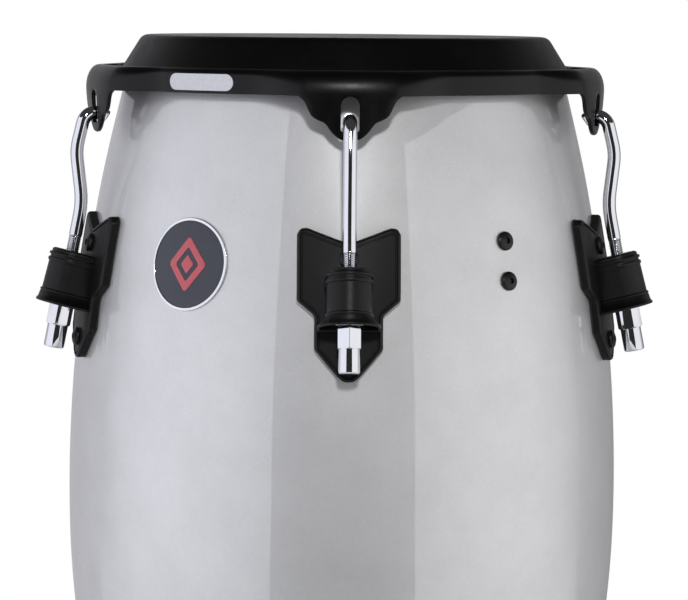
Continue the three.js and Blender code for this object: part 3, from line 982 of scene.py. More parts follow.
# Shell, head, rim and badge


@dataclass
class Shell:
    """Moulded barrel-shaped shell, open at the foot, and the rubber ring it stands in."""

    belly_radius: float = 202.9
    wall: float = 7.0
    foot_height: float = 8.3
    outline_shares: tuple[Point, ...] = (
        (0.079, 0.688), (0.171, 0.771), (0.262, 0.853), (0.349, 0.9235), (0.433, 0.9725), (0.4935, 0.993),
        (0.564, 1.0), (0.635, 0.993), (0.6825, 0.9813), (0.748, 0.9537), (0.8137, 0.9147), (0.8609, 0.8822),
        (0.9186, 0.8334), (0.942, 0.8117),
    )
    foot_share: float = 0.626
    neck_shares: tuple[Point, ...] = ((0.9633, 0.7895), (0.979, 0.765))
    bearing_centre: Point = (144.8, 754.0)
    bearing_round: float = 5.7
    steps_round: int = 240
    rows: int = 72
    base_thickness: float = 8.0
    base_wall: float = 4.0
    base_lip: float = 14.0
    base_rounds: tuple[float, ...] = (1.5, 2.5, 1.3, 0.6, 0.0, 0.0, 0.6, 1.3)
    outline: SmoothLine = field(init=False)

    def __post_init__(self) -> None:
        """Reads the outline's shares into millimetres."""
        rows = [(self.foot_height, self.foot_share * self.belly_radius)]
        rows += [(height * DRUM_TOP, radius * self.belly_radius) for height, radius in self.outline_shares]
        self.outline = SmoothLine(tuple(rows))

    def radius(self, height: float) -> float:
        """The shell's outer radius at a height."""
        return self.outline.at(height)

    def lean(self, height: float) -> float:
        """How far the outside leans from upright at a height."""
        return math.atan2(self.radius(height - self.wall) - self.radius(height + self.wall), 2 * self.wall)

    def wrap(self, bm: bmesh.types.BMesh, offset: float) -> bmesh.types.BMesh:
        """Bends a flat solid, made across X and Z with its front along -Y, round the front of the shell.

        Args:
            bm: the flat solid.
            offset: how far its back stands off the shell.

        Returns:
            The same mesh.
        """
        for v in bm.verts:
            reach = self.radius(v.co.z) + offset - v.co.y
            v.co.y = -math.sqrt(reach**2 - v.co.x**2)
        return cleaned(bm)

    def out_of(self, height: float) -> Matrix:
        """Turns a shape made along Z so that Z points out of the shell's front at a height."""
        turn = Matrix.Rotation(math.pi / 2 - self.lean(height), 4, "X")
        return Matrix.Translation((0, -self.radius(height), height)) @ turn

    def make_shell(self) -> Piece:
        """The shell's wall, lacquered outside and bare inside.

        Returns:
            The shell.
        """
        top = self.outline.points[-1][0]
        heights = [lerp(self.foot_height, top, i / self.rows) for i in range(self.rows + 1)]
        outside = [(self.radius(h), h) for h in heights]
        outside += [(r * self.belly_radius, h * DRUM_TOP) for h, r in self.neck_shares]
        outside += arc(self.bearing_centre, self.bearing_round, 0, 180, 9)
        inside = [(self.radius(h) - self.wall, h) for h in reversed(heights[::2])]
        bm = turned(chain([*outside, *inside], closed=True), self.steps_round)
        for face in bm.faces:
            middle = face.calc_center_median()
            inwards = middle.x * face.normal.x + middle.y * face.normal.y < 0
            face.material_index = int(inwards and middle.z < self.bearing_centre[1])
        return Piece("shell_wall", bm, LACQUER, Slot.LACQUER, replaces=("shell",), extra_finishes=(LAMINATE,))

    def make_base(self) -> Piece:
        """The rubber ring: a channel with rounded edges.

        Returns:
            The ring.
        """
        foot = self.foot_share * self.belly_radius
        lip = self.foot_height + self.base_lip
        outer, inner = self.radius(lip) + GAP, self.radius(lip) - self.wall - GAP
        channel_out, channel_in = foot + GAP, foot - self.wall - GAP
        section = [
            (channel_in - self.base_wall, 0), (channel_out + self.base_wall, 0), (outer + self.base_wall, lip),
            (outer, lip), (channel_out, self.base_thickness), (channel_in, self.base_thickness), (inner, lip),
            (inner - self.base_wall, lip),
        ]
        bm = turned(rounded(section, self.base_rounds), self.steps_round)
        return Piece("rubber_foot", bm, RUBBER, Slot.RUBBER, replaces=("base_ring",))

    def build(self) -> None:
        """Builds the shell and its foot."""
        self.make_shell().place()
        self.make_base().place()


@dataclass
class Head:
    """Black skin over the bearing edge, and the hoop it is lapped on."""

    edge_centre: Point = (144.8, 754.0)
    edge_round: float = 8.0
    thickness: float = 2.0
    slope: float = 32.0
    foot_height: float = 737.2
    hoop_inner: float = 164.4
    hoop_width: float = 8.0
    hoop_top: float = 736.9
    hoop_rounds: tuple[float, ...] = (2.0, 2.0, 2.5, 1.0)
    flat_rows: tuple[float, ...] = (0.0, 30.0, 60.0, 90.0, 120.0)
    cone_rows: tuple[float, ...] = (0.35, 0.7, 0.94)
    foot_chamfer: float = 0.2
    steps_round: int = 240

    def cone_foot(self, point: Point) -> Point:
        """The cone's foot, straight down the slope from a point."""
        return point[0] + (point[1] - self.foot_height) * math.tan(math.radians(self.slope)), self.foot_height

    def make_skin(self) -> Piece:
        """One skin: flat top, rounded edge and cone.

        Returns:
            The skin.
        """
        over = arc(self.edge_centre, self.edge_round, 90, self.slope, 9)
        under = arc(self.edge_centre, self.edge_round - self.thickness, self.slope, 90, 7)
        foot, inner_foot = self.cone_foot(over[-1]), self.cone_foot(under[0])
        cone = [tuple(lerp(a, b, share) for a, b in zip(over[-1], foot)) for share in self.cone_rows]
        section = [(r, DRUM_TOP) for r in self.flat_rows] + over + cone
        section += [(foot[0] - self.foot_chamfer, foot[1]), inner_foot] + under
        section += [(r, DRUM_TOP - self.thickness) for r in reversed(self.flat_rows)]
        bm = turned(chain(section), self.steps_round)
        return Piece("drum_skin", bm, BLACK_SKIN, Slot.SKIN, replaces=("head_membrane", "head_collar"))

    def make_hoop(self) -> Piece:
        """The flesh hoop: a rounded square ring.

        Returns:
            The hoop.
        """
        outer = self.hoop_inner + self.hoop_width
        low = self.hoop_top - self.hoop_width
        section = [(self.hoop_inner, low), (outer, low), (outer, self.hoop_top), (self.hoop_inner, self.hoop_top)]
        bm = turned(rounded(section, self.hoop_rounds), self.steps_round)
        return Piece("lapped_hoop", bm, POWDER, Slot.BLACK_STEEL, Body.RIM, ("flesh_hoop",))

    def build(self) -> None:
        """Builds the skin, which is not attached to a body, and its hoop."""
        skin = self.make_skin().place(moves=False)[0]
        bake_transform(skin)
        self.make_hoop().place()


@dataclass
class Rim:
    """Counterhoop: a rounded ring that swells and hangs down at each lug, slotted for the rods."""

    radius: float = 176.0
    top_drop: float = 21.8
    height: float = 17.4
    wall: float = 3.0
    lip_width: float = 7.3
    bend: float = 5.5
    ear_bulge: float = 15.3
    ear_flat: float = 9.0
    ear_span: float = 24.0
    ear_lip_share: float = 0.67
    ear_bend: Point = (9.5, 16.0)
    ear_depth: float = 30.6
    ear_half_width: float = 36.0
    ear_lean: float = 1.6
    bend_steps: int = 8
    inner_bend_steps: int = 5
    edge_round: float = 1.1
    lip_round: float = 0.8
    edge_band: float = 1.2
    slot_width: float = 12.8
    slot_top_drop: float = 39.3
    slot_bottom_drop: float = 63.2
    slot_corner: float = 1.6
    slot_edge: float = 0.7
    slot_reach: float = 0.1
    slot_sharpness: float = math.radians(60)
    steps_round: int = 800
    ear_outline: SmoothLine = SmoothLine(
        ((0.0, 1.0), (0.15, 0.975), (0.34, 0.82), (0.48, 0.61), (0.62, 0.53), (0.755, 0.41), (0.87, 0.13), (1.0, 0.0)))
    label_azimuth: float = -36.0
    label_drop: float = 31.4
    label_length: float = 55.0
    label_height: float = 11.6
    label_thickness: float = 0.25
    label_end: float = 0.05
    label_steps: int = 8
    label_slices: float = 1.8
    label_offset: float = 0.02

    @property
    def top(self) -> float:
        """Height of the rim's top."""
        return DRUM_TOP - self.top_drop

    def section(self) -> bmesh.types.BMesh:
        """The rim's section between two ears, with rounded edges.

        Returns:
            The section as one face.
        """
        centre = (self.radius - self.bend, self.top - self.bend)
        lip = self.radius - self.lip_width
        corners = [(self.radius - self.wall, self.top - self.height), (self.radius, self.top - self.height)]
        corners += arc(centre, self.bend, 0, 90, self.bend_steps)
        corners += [(lip, self.top), (lip, self.top - self.wall)]
        corners += arc(centre, self.bend - self.wall, 90, 0, self.inner_bend_steps)
        edge = self.edge_round
        return rounded(corners, (edge, edge, *[0.0] * self.bend_steps, edge, self.lip_round))

    def ear_shares(self, azimuth: float) -> Point:
        """How far the rim swells and reaches down at an azimuth.

        Args:
            azimuth: angle from the nearest ear.

        Returns:
            Share of the bulge and share of the depth.
        """
        flat, span = math.radians(self.ear_flat), math.radians(self.ear_span)
        swell = 1 - smooth((abs(azimuth) - flat) / (span - flat))
        across = abs(math.sin(azimuth)) * (self.radius + self.ear_bulge) / self.ear_half_width
        return swell, self.ear_outline.at(across)

    def shaped(self, radius: float, height: float, azimuth: float) -> Point:
        """Where a point of the plain section comes to at an azimuth.

        Args:
            radius: distance from the axis.
            height: height on the plain section.
            azimuth: angle from the nearest ear.

        Returns:
            Its new radius and height.
        """
        swell, reach = self.ear_shares(azimuth)
        outer = self.radius + self.ear_bulge * swell
        across, down = (lerp(self.bend, bend, swell) for bend in self.ear_bend)
        low = self.top - self.height
        straight = self.top - self.bend
        centre = self.radius - self.bend
        if height <= straight:
            bottom = low - self.ear_depth * reach
            edge = self.edge_band * self.edge_round
            if height < low + edge:
                raised_to = bottom + height - low
            else:
                share = (height - low - edge) / (straight - low - edge)
                raised_to = lerp(bottom + edge, self.top - down, share)
            share = (self.top - down - raised_to) / (self.top - down - bottom)
            return outer - (self.radius - radius) - self.ear_lean * reach * share, raised_to
        if radius < centre:
            lip = self.radius - self.lip_width + self.ear_bulge * self.ear_lip_share * swell
            share = (centre - radius) / (centre - self.radius + self.lip_width)
            return lerp(outer - across, lip, share), height
        angle = math.atan2(height - straight, radius - centre)
        depth = self.bend - math.hypot(height - straight, radius - centre)
        return (outer - across + (across - depth) * math.cos(angle),
                self.top - down + (down - depth) * math.sin(angle))

    def slot_cutter(self) -> bmesh.types.BMesh:
        """The slot through the front ear: straight sides, a flat bottom and a round top.

        Returns:
            The cutter, through the front ear.
        """
        half = self.slot_width / 2
        shoulder = DRUM_TOP - self.slot_top_drop - half
        bottom = DRUM_TOP - self.slot_bottom_drop
        outline = [(-half, bottom), (half, bottom), *arc((0.0, shoulder), half, 0, 180, 13)]
        bm = rounded(outline, (self.slot_corner, self.slot_corner))
        raised(bm, self.radius)
        bmesh.ops.translate(bm, vec=(0, -self.radius / 2, 0), verts=list(bm.verts))
        return bm

    def make_rim(self) -> Piece:
        """The whole ring with its five ears and slots.

        Returns:
            The rim.
        """
        bm = turned(self.section(), self.steps_round)
        for v in bm.verts:
            turn = math.atan2(v.co.x, -v.co.y)
            azimuth = (turn + LUG_SPACING / 2) % LUG_SPACING - LUG_SPACING / 2
            radius, height = self.shaped(math.hypot(v.co.x, v.co.y), v.co.z, azimuth)
            v.co = (radius * math.sin(turn), -radius * math.cos(turn), height)
        bm.normal_update()
        cutters = []
        for lug in range(LUG_COUNT):
            cutter = self.slot_cutter()
            cutter.transform(Matrix.Rotation(lug * LUG_SPACING, 4, "Z"))
            cutters.append(cutter)
        bm = joined(bm, cutters, Join.CUT)
        mouth = [e for e in bm.edges if len(e.link_faces) == 2 and e.calc_face_angle() > self.slot_sharpness
                 and self.in_slot(e)]
        bevel_edges(bm, mouth, self.slot_edge, 2)
        return Piece("slotted_rim", bm, POWDER, Slot.SATIN, Body.RIM, ("counterhoop",))

    def in_slot(self, edge: bmesh.types.BMEdge) -> bool:
        """Whether an edge lies on the mouth of a slot.

        Args:
            edge: the edge.

        Returns:
            True where it does.
        """
        middle = (edge.verts[0].co + edge.verts[1].co) / 2
        turn = math.atan2(middle.x, -middle.y)
        azimuth = (turn + LUG_SPACING / 2) % LUG_SPACING - LUG_SPACING / 2
        across = abs(math.sin(azimuth)) * math.hypot(middle.x, middle.y)
        drop, reach = DRUM_TOP - middle.z, self.slot_reach
        return (across < self.slot_width / 2 + reach
                and self.slot_top_drop - reach < drop < self.slot_bottom_drop + reach)

    def make_label(self) -> Piece:
        """A bare pale label printed on the rim, following its round.

        Returns:
            The label, at the front.
        """
        half_length, half_height = self.label_length / 2, self.label_height / 2
        corners = [(-half_length, -half_height), (half_length, -half_height), (half_length, half_height),
                   (-half_length, half_height)]
        bm = rounded(corners, (half_height - self.label_end,) * 4, self.label_steps)
        raised(bm, self.label_thickness)
        sliced(bm, self.label_slices)
        for v in bm.verts:
            turn = v.co.x / self.radius
            height = DRUM_TOP - self.label_drop + v.co.z
            rise = max(0.0, height - (self.top - self.bend))
            reach = self.radius - self.bend + math.sqrt(max(self.bend**2 - rise**2, 0.0)) + self.label_offset - v.co.y
            v.co = (reach * math.sin(turn), -reach * math.cos(turn), height)
        return Piece("rim_label", cleaned(bm), LABEL, Slot.SATIN, Body.RIM)

    def build(self) -> None:
        """Builds the rim and its label."""
        self.make_rim().place()
        label = self.make_label()
        label.shape.transform(Matrix.Rotation(math.radians(self.label_azimuth), 4, "Z"))
        label.place()


@dataclass
class Badge:
    """Round badge on the shell: a polished border, a dark field and a plain red lozenge."""

    shell: Shell
    azimuth: float = -36.0
    drop: float = 157.0
    radius: float = 32.0
    thickness: float = 1.2
    border_width: float = 2.0
    field_depth: float = 0.5
    steps_round: int = 96
    slices: float = 5.0
    front_edge: float = 0.3
    clearance: float = 0.02
    lozenge: Point = (16.0, 19.5)
    lozenge_height: float = 0.35
    lozenge_corner: float = 2.6
    lozenge_edge: float = 0.12
    lozenge_bands: tuple[tuple[str, float, float], ...] = (
        ("badge_lozenge", 0.62, 1.0), ("badge_lozenge_middle", 0.0, 0.34),
    )

    def disc(self, inner: float, outer: float, low: float, high: float) -> bmesh.types.BMesh:
        """A flat ring or disc with a softened front edge.

        Args:
            inner: the hole's radius, 0 for none.
            outer: the outside radius.
            low: height of its back above the shell.
            high: height of its front above the shell.

        Returns:
            The ring or disc, flat in the XZ plane.
        """
        bm = bmesh.new()
        bmesh.ops.create_circle(bm, cap_ends=True, radius=outer, segments=self.steps_round)
        if inner:
            made = bmesh.ops.inset_region(bm, faces=list(bm.faces), thickness=outer - inner, use_boundary=True,
                                           use_even_offset=True)
            middle = [f for f in bm.faces if f not in set(made["faces"])]
            bmesh.ops.delete(bm, geom=middle, context="FACES")
        bm.transform(Matrix.Rotation(math.pi / 2, 4, "X"))
        front = raised(bm, high - low)
        bevel_edges(bm, border(front), self.front_edge)
        bmesh.ops.translate(bm, vec=(0, -low, 0), verts=list(bm.verts))
        return bm

    def on_shell(self, bm: bmesh.types.BMesh) -> bmesh.types.BMesh:
        """Lays a flat piece of the badge on the shell.

        Args:
            bm: the flat piece.

        Returns:
            The same mesh.
        """
        bmesh.ops.translate(bm, vec=(0, 0, DRUM_TOP - self.drop), verts=list(bm.verts))
        self.shell.wrap(sliced(bm, self.slices), GAP)
        bm.transform(Matrix.Rotation(math.radians(self.azimuth), 4, "Z"))
        return bm

    def build(self) -> None:
        """Builds the badge's border, field and lozenge."""
        inner = self.radius - self.border_width
        face = self.thickness - self.field_depth
        ring = self.on_shell(self.disc(inner, self.radius, 0.0, self.thickness))
        Piece("badge_border", ring, POLISHED, Slot.BADGE, replaces=("badge",)).place()
        plate = self.on_shell(self.disc(0.0, inner - self.clearance, 0.0, face))
        Piece("badge_field", plate, FIELD, Slot.BADGE).place()
        for name, inner_share, outer_share in self.lozenge_bands:
            bm = self.lozenge_band(inner_share, outer_share)
            bmesh.ops.translate(bm, vec=(0, -face - self.clearance, 0), verts=list(bm.verts))
            Piece(name, self.on_shell(bm), EMBLEM, Slot.BADGE).place()

    def lozenge_band(self, inner: float, outer: float) -> bmesh.types.BMesh:
        """A raised lozenge, hollow inside a share of its size.

        Args:
            inner: share of the full size inside which it is hollow, 0 for none.
            outer: share of the full size of its outside.

        Returns:
            The lozenge, flat and at the front of the XZ plane.
        """
        across, up = self.lozenge
        corners = [(0.0, -up), (across, 0.0), (0.0, up), (-across, 0.0)]
        made = []
        for share, height in ((outer, self.lozenge_height), (inner, 2 * self.lozenge_height)):
            if share:
                outline = [(x * share, z * share) for x, z in corners]
                bm = rounded(outline, (self.lozenge_corner * share,) * 4, 5)
                front = raised(bm, height)
                if share == outer:
                    bevel_edges(bm, border(front), self.lozenge_edge, 2)
                made.append(bm)
        if len(made) == 1:
            return made[0]
        bmesh.ops.translate(made[1], vec=(0, self.lozenge_height / 2, 0), verts=list(made[1].verts))
        return joined(made[0], [made[1]], Join.CUT)


@dataclass
class SocketBolt:
    """Button-headed bolt with a hexagon socket, standing out of the shell."""

    shell: Shell
    shank_radius: float = 3.0
    head_radius: float = 6.7
    head_height: float = 3.2
    head_rim: float = 0.7
    head_edge: float = 0.25
    crown_edge: float = 0.6
    dome_step: float = 9.0
    dome_points: int = 8
    tip_chamfer: float = 0.5
    steps_round: int = 40
    socket_radius: float = 2.4
    socket_flare: float = 0.15
    socket_depth: float = 1.8

    def shape(self, height: float, seat: float, tip: float) -> bmesh.types.BMesh:
        """One bolt at the front of the drum.

        Args:
            height: where on the shell.
            seat: what the head sits on, measured out from the shell.
            tip: the shank's end, measured the same way.

        Returns:
            The bolt's shape.
        """
        lean = math.cos(self.shell.lean(height))
        under, end = seat * lean + GAP, tip * lean
        crown = under + self.head_height
        rise = self.head_height - self.head_rim
        dome = [(self.head_radius * math.cos(a), under + self.head_rim + rise * math.sin(a))
                for a in (math.radians(self.dome_step * i) for i in range(self.dome_points))]
        section = [(0, end), (self.shank_radius - self.tip_chamfer, end), (self.shank_radius, end + self.tip_chamfer),
                   (self.shank_radius, under), (self.head_radius - self.head_edge, under),
                   (self.head_radius, under + self.head_edge), *dome, (dome[-1][0] - self.crown_edge, crown),
                   (0, crown)]
        bm = turned(chain(section), self.steps_round)
        socket = bmesh.new()
        bmesh.ops.create_cone(socket, cap_ends=True, segments=6, radius1=self.socket_radius,
                              radius2=self.socket_radius + self.socket_flare, depth=2 * self.socket_depth)
        bmesh.ops.translate(socket, vec=(0, 0, crown), verts=list(socket.verts))
        bm = joined(bm, [socket], Join.CUT)
        bm.transform(self.shell.out_of(height))
        return bm


@dataclass
class AccessoryBolts:
    """The two bolts right of the front lug, long enough for the frame's plate inside the shell."""

    bolt: SocketBolt
    azimuth: float = 36.0
    drop: float = 139.8
    spacing: float = 27.6
    plate_thickness: float = 5.0
    tail: float = 1.5

    def build(self) -> None:
        """Builds both bolts."""
        tip = -self.bolt.shell.wall - self.plate_thickness - self.tail
        for i in range(2):
            shape = self.bolt.shape(DRUM_TOP - self.drop - i * self.spacing, 0.0, tip)
            shape.transform(Matrix.Rotation(math.radians(self.azimuth), 4, "Z"))
            Piece(f"spare_bolt_{i + 1}", shape, OXIDE, Slot.BLACK_STEEL, replaces=(f"accessory_bolt_{i + 1}",)).place()


# Lugs, rods and nuts


@dataclass
class LugFrame:
    """Places shared by the pieces of one lug, in the plane of the front lug."""

    shell: Shell
    pivot_reach: float = 209.414
    pivot_drop: float = 168.0
    leg_tilt: float = math.radians(11.40957)
    barrel_lean: float = math.radians(3.6)

    @property
    def pivot(self) -> Vector:
        """Where the leg's axis crosses the barrel's."""
        return Vector((0, -self.pivot_reach, DRUM_TOP - self.pivot_drop))

    def along(self, lean: float) -> Matrix:
        """Turns a shape made along Z inwards by an angle and moves it to the pivot."""
        return Matrix.Translation(self.pivot) @ Matrix.Rotation(-lean, 4, "X")

    @property
    def leg(self) -> Matrix:
        """Moves a shape made along Z to the rod's leg."""
        return self.along(self.leg_tilt)

    @property
    def barrel(self) -> Matrix:
        """Moves a shape made along Z to the barrel."""
        return self.along(self.leg_tilt + self.barrel_lean)


@dataclass
class TensionRod:
    """Hooked rod: straight threaded leg, knee, bow and hook with a square head."""

    lug: LugFrame
    radius: float = 4.75
    sides: int = 24
    tail: float = 47.3
    crook: Point = (-195.793, 712.47)
    hook_lean: float = 14.0
    hook_rise: float = 34.1
    bow_lean: float = 6.6
    bow_rise: float = 37.6
    bends: tuple[float, float, float] = (60.0, 40.0, 9.5)
    hook_dip: float = 35.0
    hook_tail: float = 15.2
    head_width: float = 10.0
    head_thickness: float = 4.0
    head_corner: float = 3.4
    head_edge: float = 1.1
    thread_pitch: float = 1.5
    thread_depth: float = 0.75
    thread_span: Point = (-24.0, 25.5)
    thread_rows: int = 7
    thread_fade: float = 16.0
    bend_step: float = 6.0
    sharp: float = 40.0

    def towards(self, start: Vector, lean: float, length: float) -> Vector:
        """The point at a distance from another, leaning inwards from upright."""
        return start + Vector((0, math.sin(lean), math.cos(lean))) * length

    def path(self) -> list[Vector]:
        """Tail, knee, bow, crook and tip of the rod's axis.

        Returns:
            The five points.
        """
        crook = Vector((0, *self.crook))
        bow = self.towards(crook, math.radians(self.hook_lean), -self.hook_rise)
        knee = self.towards(bow, math.radians(-self.bow_lean), -self.bow_rise)
        tail = self.towards(self.lug.pivot, self.lug.leg_tilt, -self.tail)
        tip = self.towards(crook, math.radians(90 + self.hook_dip), self.hook_tail)
        return [tail, knee, bow, crook, tip]

    def pull(self, bm: bmesh.types.BMesh, ring: list[bmesh.types.BMEdge], along: Vector,
             length: float, steps: int = 1) -> list[bmesh.types.BMEdge]:
        """Draws a ring of edges out along a direction.

        Args:
            bm: the rod's mesh.
            ring: its open end.
            along: the direction.
            length: how far.
            steps: in how many steps.

        Returns:
            The new open end.
        """
        for _ in range(steps):
            made = bmesh.ops.extrude_edge_only(bm, edges=ring)["geom"]
            verts = [item for item in made if isinstance(item, bmesh.types.BMVert)]
            bmesh.ops.translate(bm, vec=along * (length / steps), verts=verts)
            ring = [item for item in made if isinstance(item, bmesh.types.BMEdge)
                    and all(v in set(verts) for v in item.verts)]
        return ring

    def turn(self, bm: bmesh.types.BMesh, ring: list[bmesh.types.BMEdge], centre: Vector,
             angle: float) -> list[bmesh.types.BMEdge]:
        """Bends the open end round a centre.

        Args:
            bm: the rod's mesh.
            ring: its open end.
            centre: the bend's centre.
            angle: signed angle about X.

        Returns:
            The new open end.
        """
        verts = list({v for e in ring for v in e.verts})
        steps = max(4, math.ceil(abs(math.degrees(angle)) / self.bend_step))
        made = bmesh.ops.spin(bm, geom=verts + ring, cent=centre, axis=(1, 0, 0), dvec=(0, 0, 0), angle=angle,
                              steps=steps, use_duplicate=False)["geom_last"]
        return [item for item in made if isinstance(item, bmesh.types.BMEdge)]

    def make_bar(self) -> bmesh.types.BMesh:
        """The round bar along its path, threaded on its leg.

        Returns:
            The bar.
        """
        points = self.path()
        bm = bmesh.new()
        bmesh.ops.create_circle(bm, cap_ends=False, radius=self.radius, segments=self.sides)
        bm.transform(Matrix.Translation((0, 0, -self.tail)))
        bm.transform(self.lug.leg)
        ring = list(bm.edges)
        start = points[0]
        for i in range(1, 4):
            before, after = (points[i] - points[i - 1]).normalized(), (points[i + 1] - points[i]).normalized()
            angle = before.angle(after)
            side = math.copysign(1.0, before.y * after.z - before.z * after.y)
            cut = self.bends[i - 1] * math.tan(angle / 2)
            stop = points[i] - before * cut
            draw = self.leg_rows if i == 1 else self.pull
            ring = draw(bm, ring, before, (stop - start).length)
            centre = stop + Vector((0, -before.z, before.y)) * (side * self.bends[i - 1])
            ring = self.turn(bm, ring, centre, side * angle)
            start = points[i] + after * cut
        self.pull(bm, ring, (points[4] - points[3]).normalized(), (points[4] - start).length)
        bmesh.ops.remove_doubles(bm, verts=list(bm.verts), dist=SAME_POINT)
        bmesh.ops.holes_fill(bm, edges=[e for e in bm.edges if e.is_boundary], sides=0)
        return cleaned(bm, ON_PLANE)

    def leg_rows(self, bm: bmesh.types.BMesh, ring: list[bmesh.types.BMEdge], along: Vector,
                 length: float) -> list[bmesh.types.BMEdge]:
        """Draws out the leg in rows fine enough for its thread, and cuts the thread.

        Args:
            bm: the rod's mesh.
            ring: its open end, at the rod's tail.
            along: the leg's direction.
            length: the leg's length.

        Returns:
            The new open end.
        """
        low, high = self.thread_span
        ring = self.pull(bm, ring, along, low + self.tail)
        rows = round((high - low) / self.thread_pitch * self.thread_rows)
        ring = self.pull(bm, ring, along, high - low, rows)
        back = self.lug.leg
        place = back.inverted()
        for v in bm.verts:
            local = place @ v.co
            share = (local.z - low) / (high - low)
            fade = smooth(share * self.thread_fade) * smooth((1 - share) * self.thread_fade)
            turn = math.atan2(local.y, local.x) / (2 * math.pi)
            wave = 0.5 + 0.5 * math.cos(2 * math.pi * (local.z / self.thread_pitch - turn))
            radius = self.radius - fade * self.thread_depth * wave
            local.x, local.y = [part * radius / self.radius for part in (local.x, local.y)]
            v.co = back @ local
        return self.pull(bm, ring, along, length - high - self.tail)

    def make_head(self) -> bmesh.types.BMesh:
        """The square block on the hook's end, with rounded corners.

        Returns:
            The block, at the tip.
        """
        bm = bmesh.new()
        bmesh.ops.create_cube(bm, size=1.0)
        bmesh.ops.scale(bm, vec=(self.head_width, self.head_width, self.head_thickness), verts=list(bm.verts))
        bevel_edges(bm, [e for e in bm.edges if rise_of(e) > self.head_thickness / 2], self.head_corner, 5)
        bevel_edges(bm, [e for e in bm.edges if rise_of(e) < GAP], self.head_edge)
        bm.transform(Matrix.Rotation(-math.radians(90 + self.hook_dip), 4, "X"))
        bmesh.ops.translate(bm, vec=self.path()[-1], verts=list(bm.verts))
        return bm

    def build(self, azimuths: Sequence[float]) -> None:
        """Builds the rods, each with its head.

        Args:
            azimuths: where the lugs stand round the drum.
        """
        bm = joined(self.make_bar(), [self.make_head()], Join.ADD)
        Piece("hooked_rod", bm, CHROME, Slot.CHROME, Body.ROD, ("tension_rod",),
              sharp=self.sharp).place(azimuths, True)


@dataclass
class TensionNut:
    """Long chrome nut, hexagon above and round below, and the washer above it."""

    lug: LugFrame
    seat: float = 25.8
    length: float = 32.2
    hex_length: float = 15.6
    flats: float = 15.7
    round_radius: float = 7.4
    bore_radius: float = 5.05
    floor: float = 3.4
    hex_edge: float = 0.25
    hex_shoulder: float = 1.1
    hex_chamfer: Point = (0.3, 0.9)
    tail_rounds: tuple[Point, ...] = ((1.4, 0.0), (0.5, 0.35), (0.0, 1.3))
    mouth: Point = (1.2, 0.7)
    overlap: float = 0.5
    steps_round: int = 64
    bore_steps: int = 40
    sharp: float = 28.0
    washer_radius: float = 10.0
    washer_thickness: float = 1.2
    washer_round: float = 0.35
    washer_steps: int = 56

    def make_nut(self) -> bmesh.types.BMesh:
        """The nut, with turned chamfers and a blind bore.

        Returns:
            The nut, along Z.
        """
        top, split, bottom = -self.seat, -self.seat - self.hex_length, -self.seat - self.length
        corner = self.flats / math.sqrt(3)
        hexagon = bmesh.new()
        bmesh.ops.create_cone(hexagon, cap_ends=True, segments=6, radius1=corner, radius2=corner,
                              depth=self.hex_length)
        bmesh.ops.translate(hexagon, vec=(0, 0, (top + split) / 2), verts=list(hexagon.verts))
        bevel_edges(hexagon, [e for e in hexagon.edges if rise_of(e) > self.hex_length / 2], self.hex_edge, 2)
        inner, low = self.flats / 2, split - 2 * self.overlap
        in_by, down_by = self.hex_chamfer
        barrel = [(0, low), (inner, low), (inner, split), (corner, split + self.hex_shoulder), (corner, top - down_by),
                  (inner - in_by, top), (0, top)]
        nut = joined(hexagon, [turned(chain(barrel), self.steps_round)], Join.KEEP_SHARED)
        radius, high = self.round_radius, split + self.overlap
        tail = [(0, bottom), *[(radius - across, bottom + up) for across, up in self.tail_rounds], (radius, high),
                (0, high)]
        nut = joined(nut, [turned(chain(tail), self.steps_round)], Join.ADD)
        radius, floor, (flare, depth) = self.bore_radius, bottom + self.floor, self.mouth
        bore = [(0, floor), (radius, floor), (radius, top - depth), (radius + flare, top + self.overlap),
                (0, top + self.overlap)]
        return joined(nut, [turned(chain(bore), self.bore_steps)], Join.CUT)

    def make_washer(self) -> bmesh.types.BMesh:
        """A flat ring with rounded edges.

        Returns:
            The washer, along Z.
        """
        low = -self.seat + GAP
        high = low + self.washer_thickness
        section = [(self.bore_radius, low), (self.washer_radius, low), (self.washer_radius, high),
                   (self.bore_radius, high)]
        return turned(rounded(section, (self.washer_round,) * 4, 3), self.washer_steps)

    def build(self, azimuths: Sequence[float]) -> None:
        """Builds the nuts and washers.

        Args:
            azimuths: where the lugs stand round the drum.
        """
        nut, washer = self.make_nut(), self.make_washer()
        for bm in (nut, washer):
            bm.transform(self.lug.leg)
        Piece("long_nut", nut, CHROME, Slot.CHROME, Body.NUT, ("tension_nut",),
              sharp=self.sharp).place(azimuths, True)
        Piece("washer", washer, CHROME, Slot.CHROME, replaces=("nut_washer",)).place(azimuths, True)


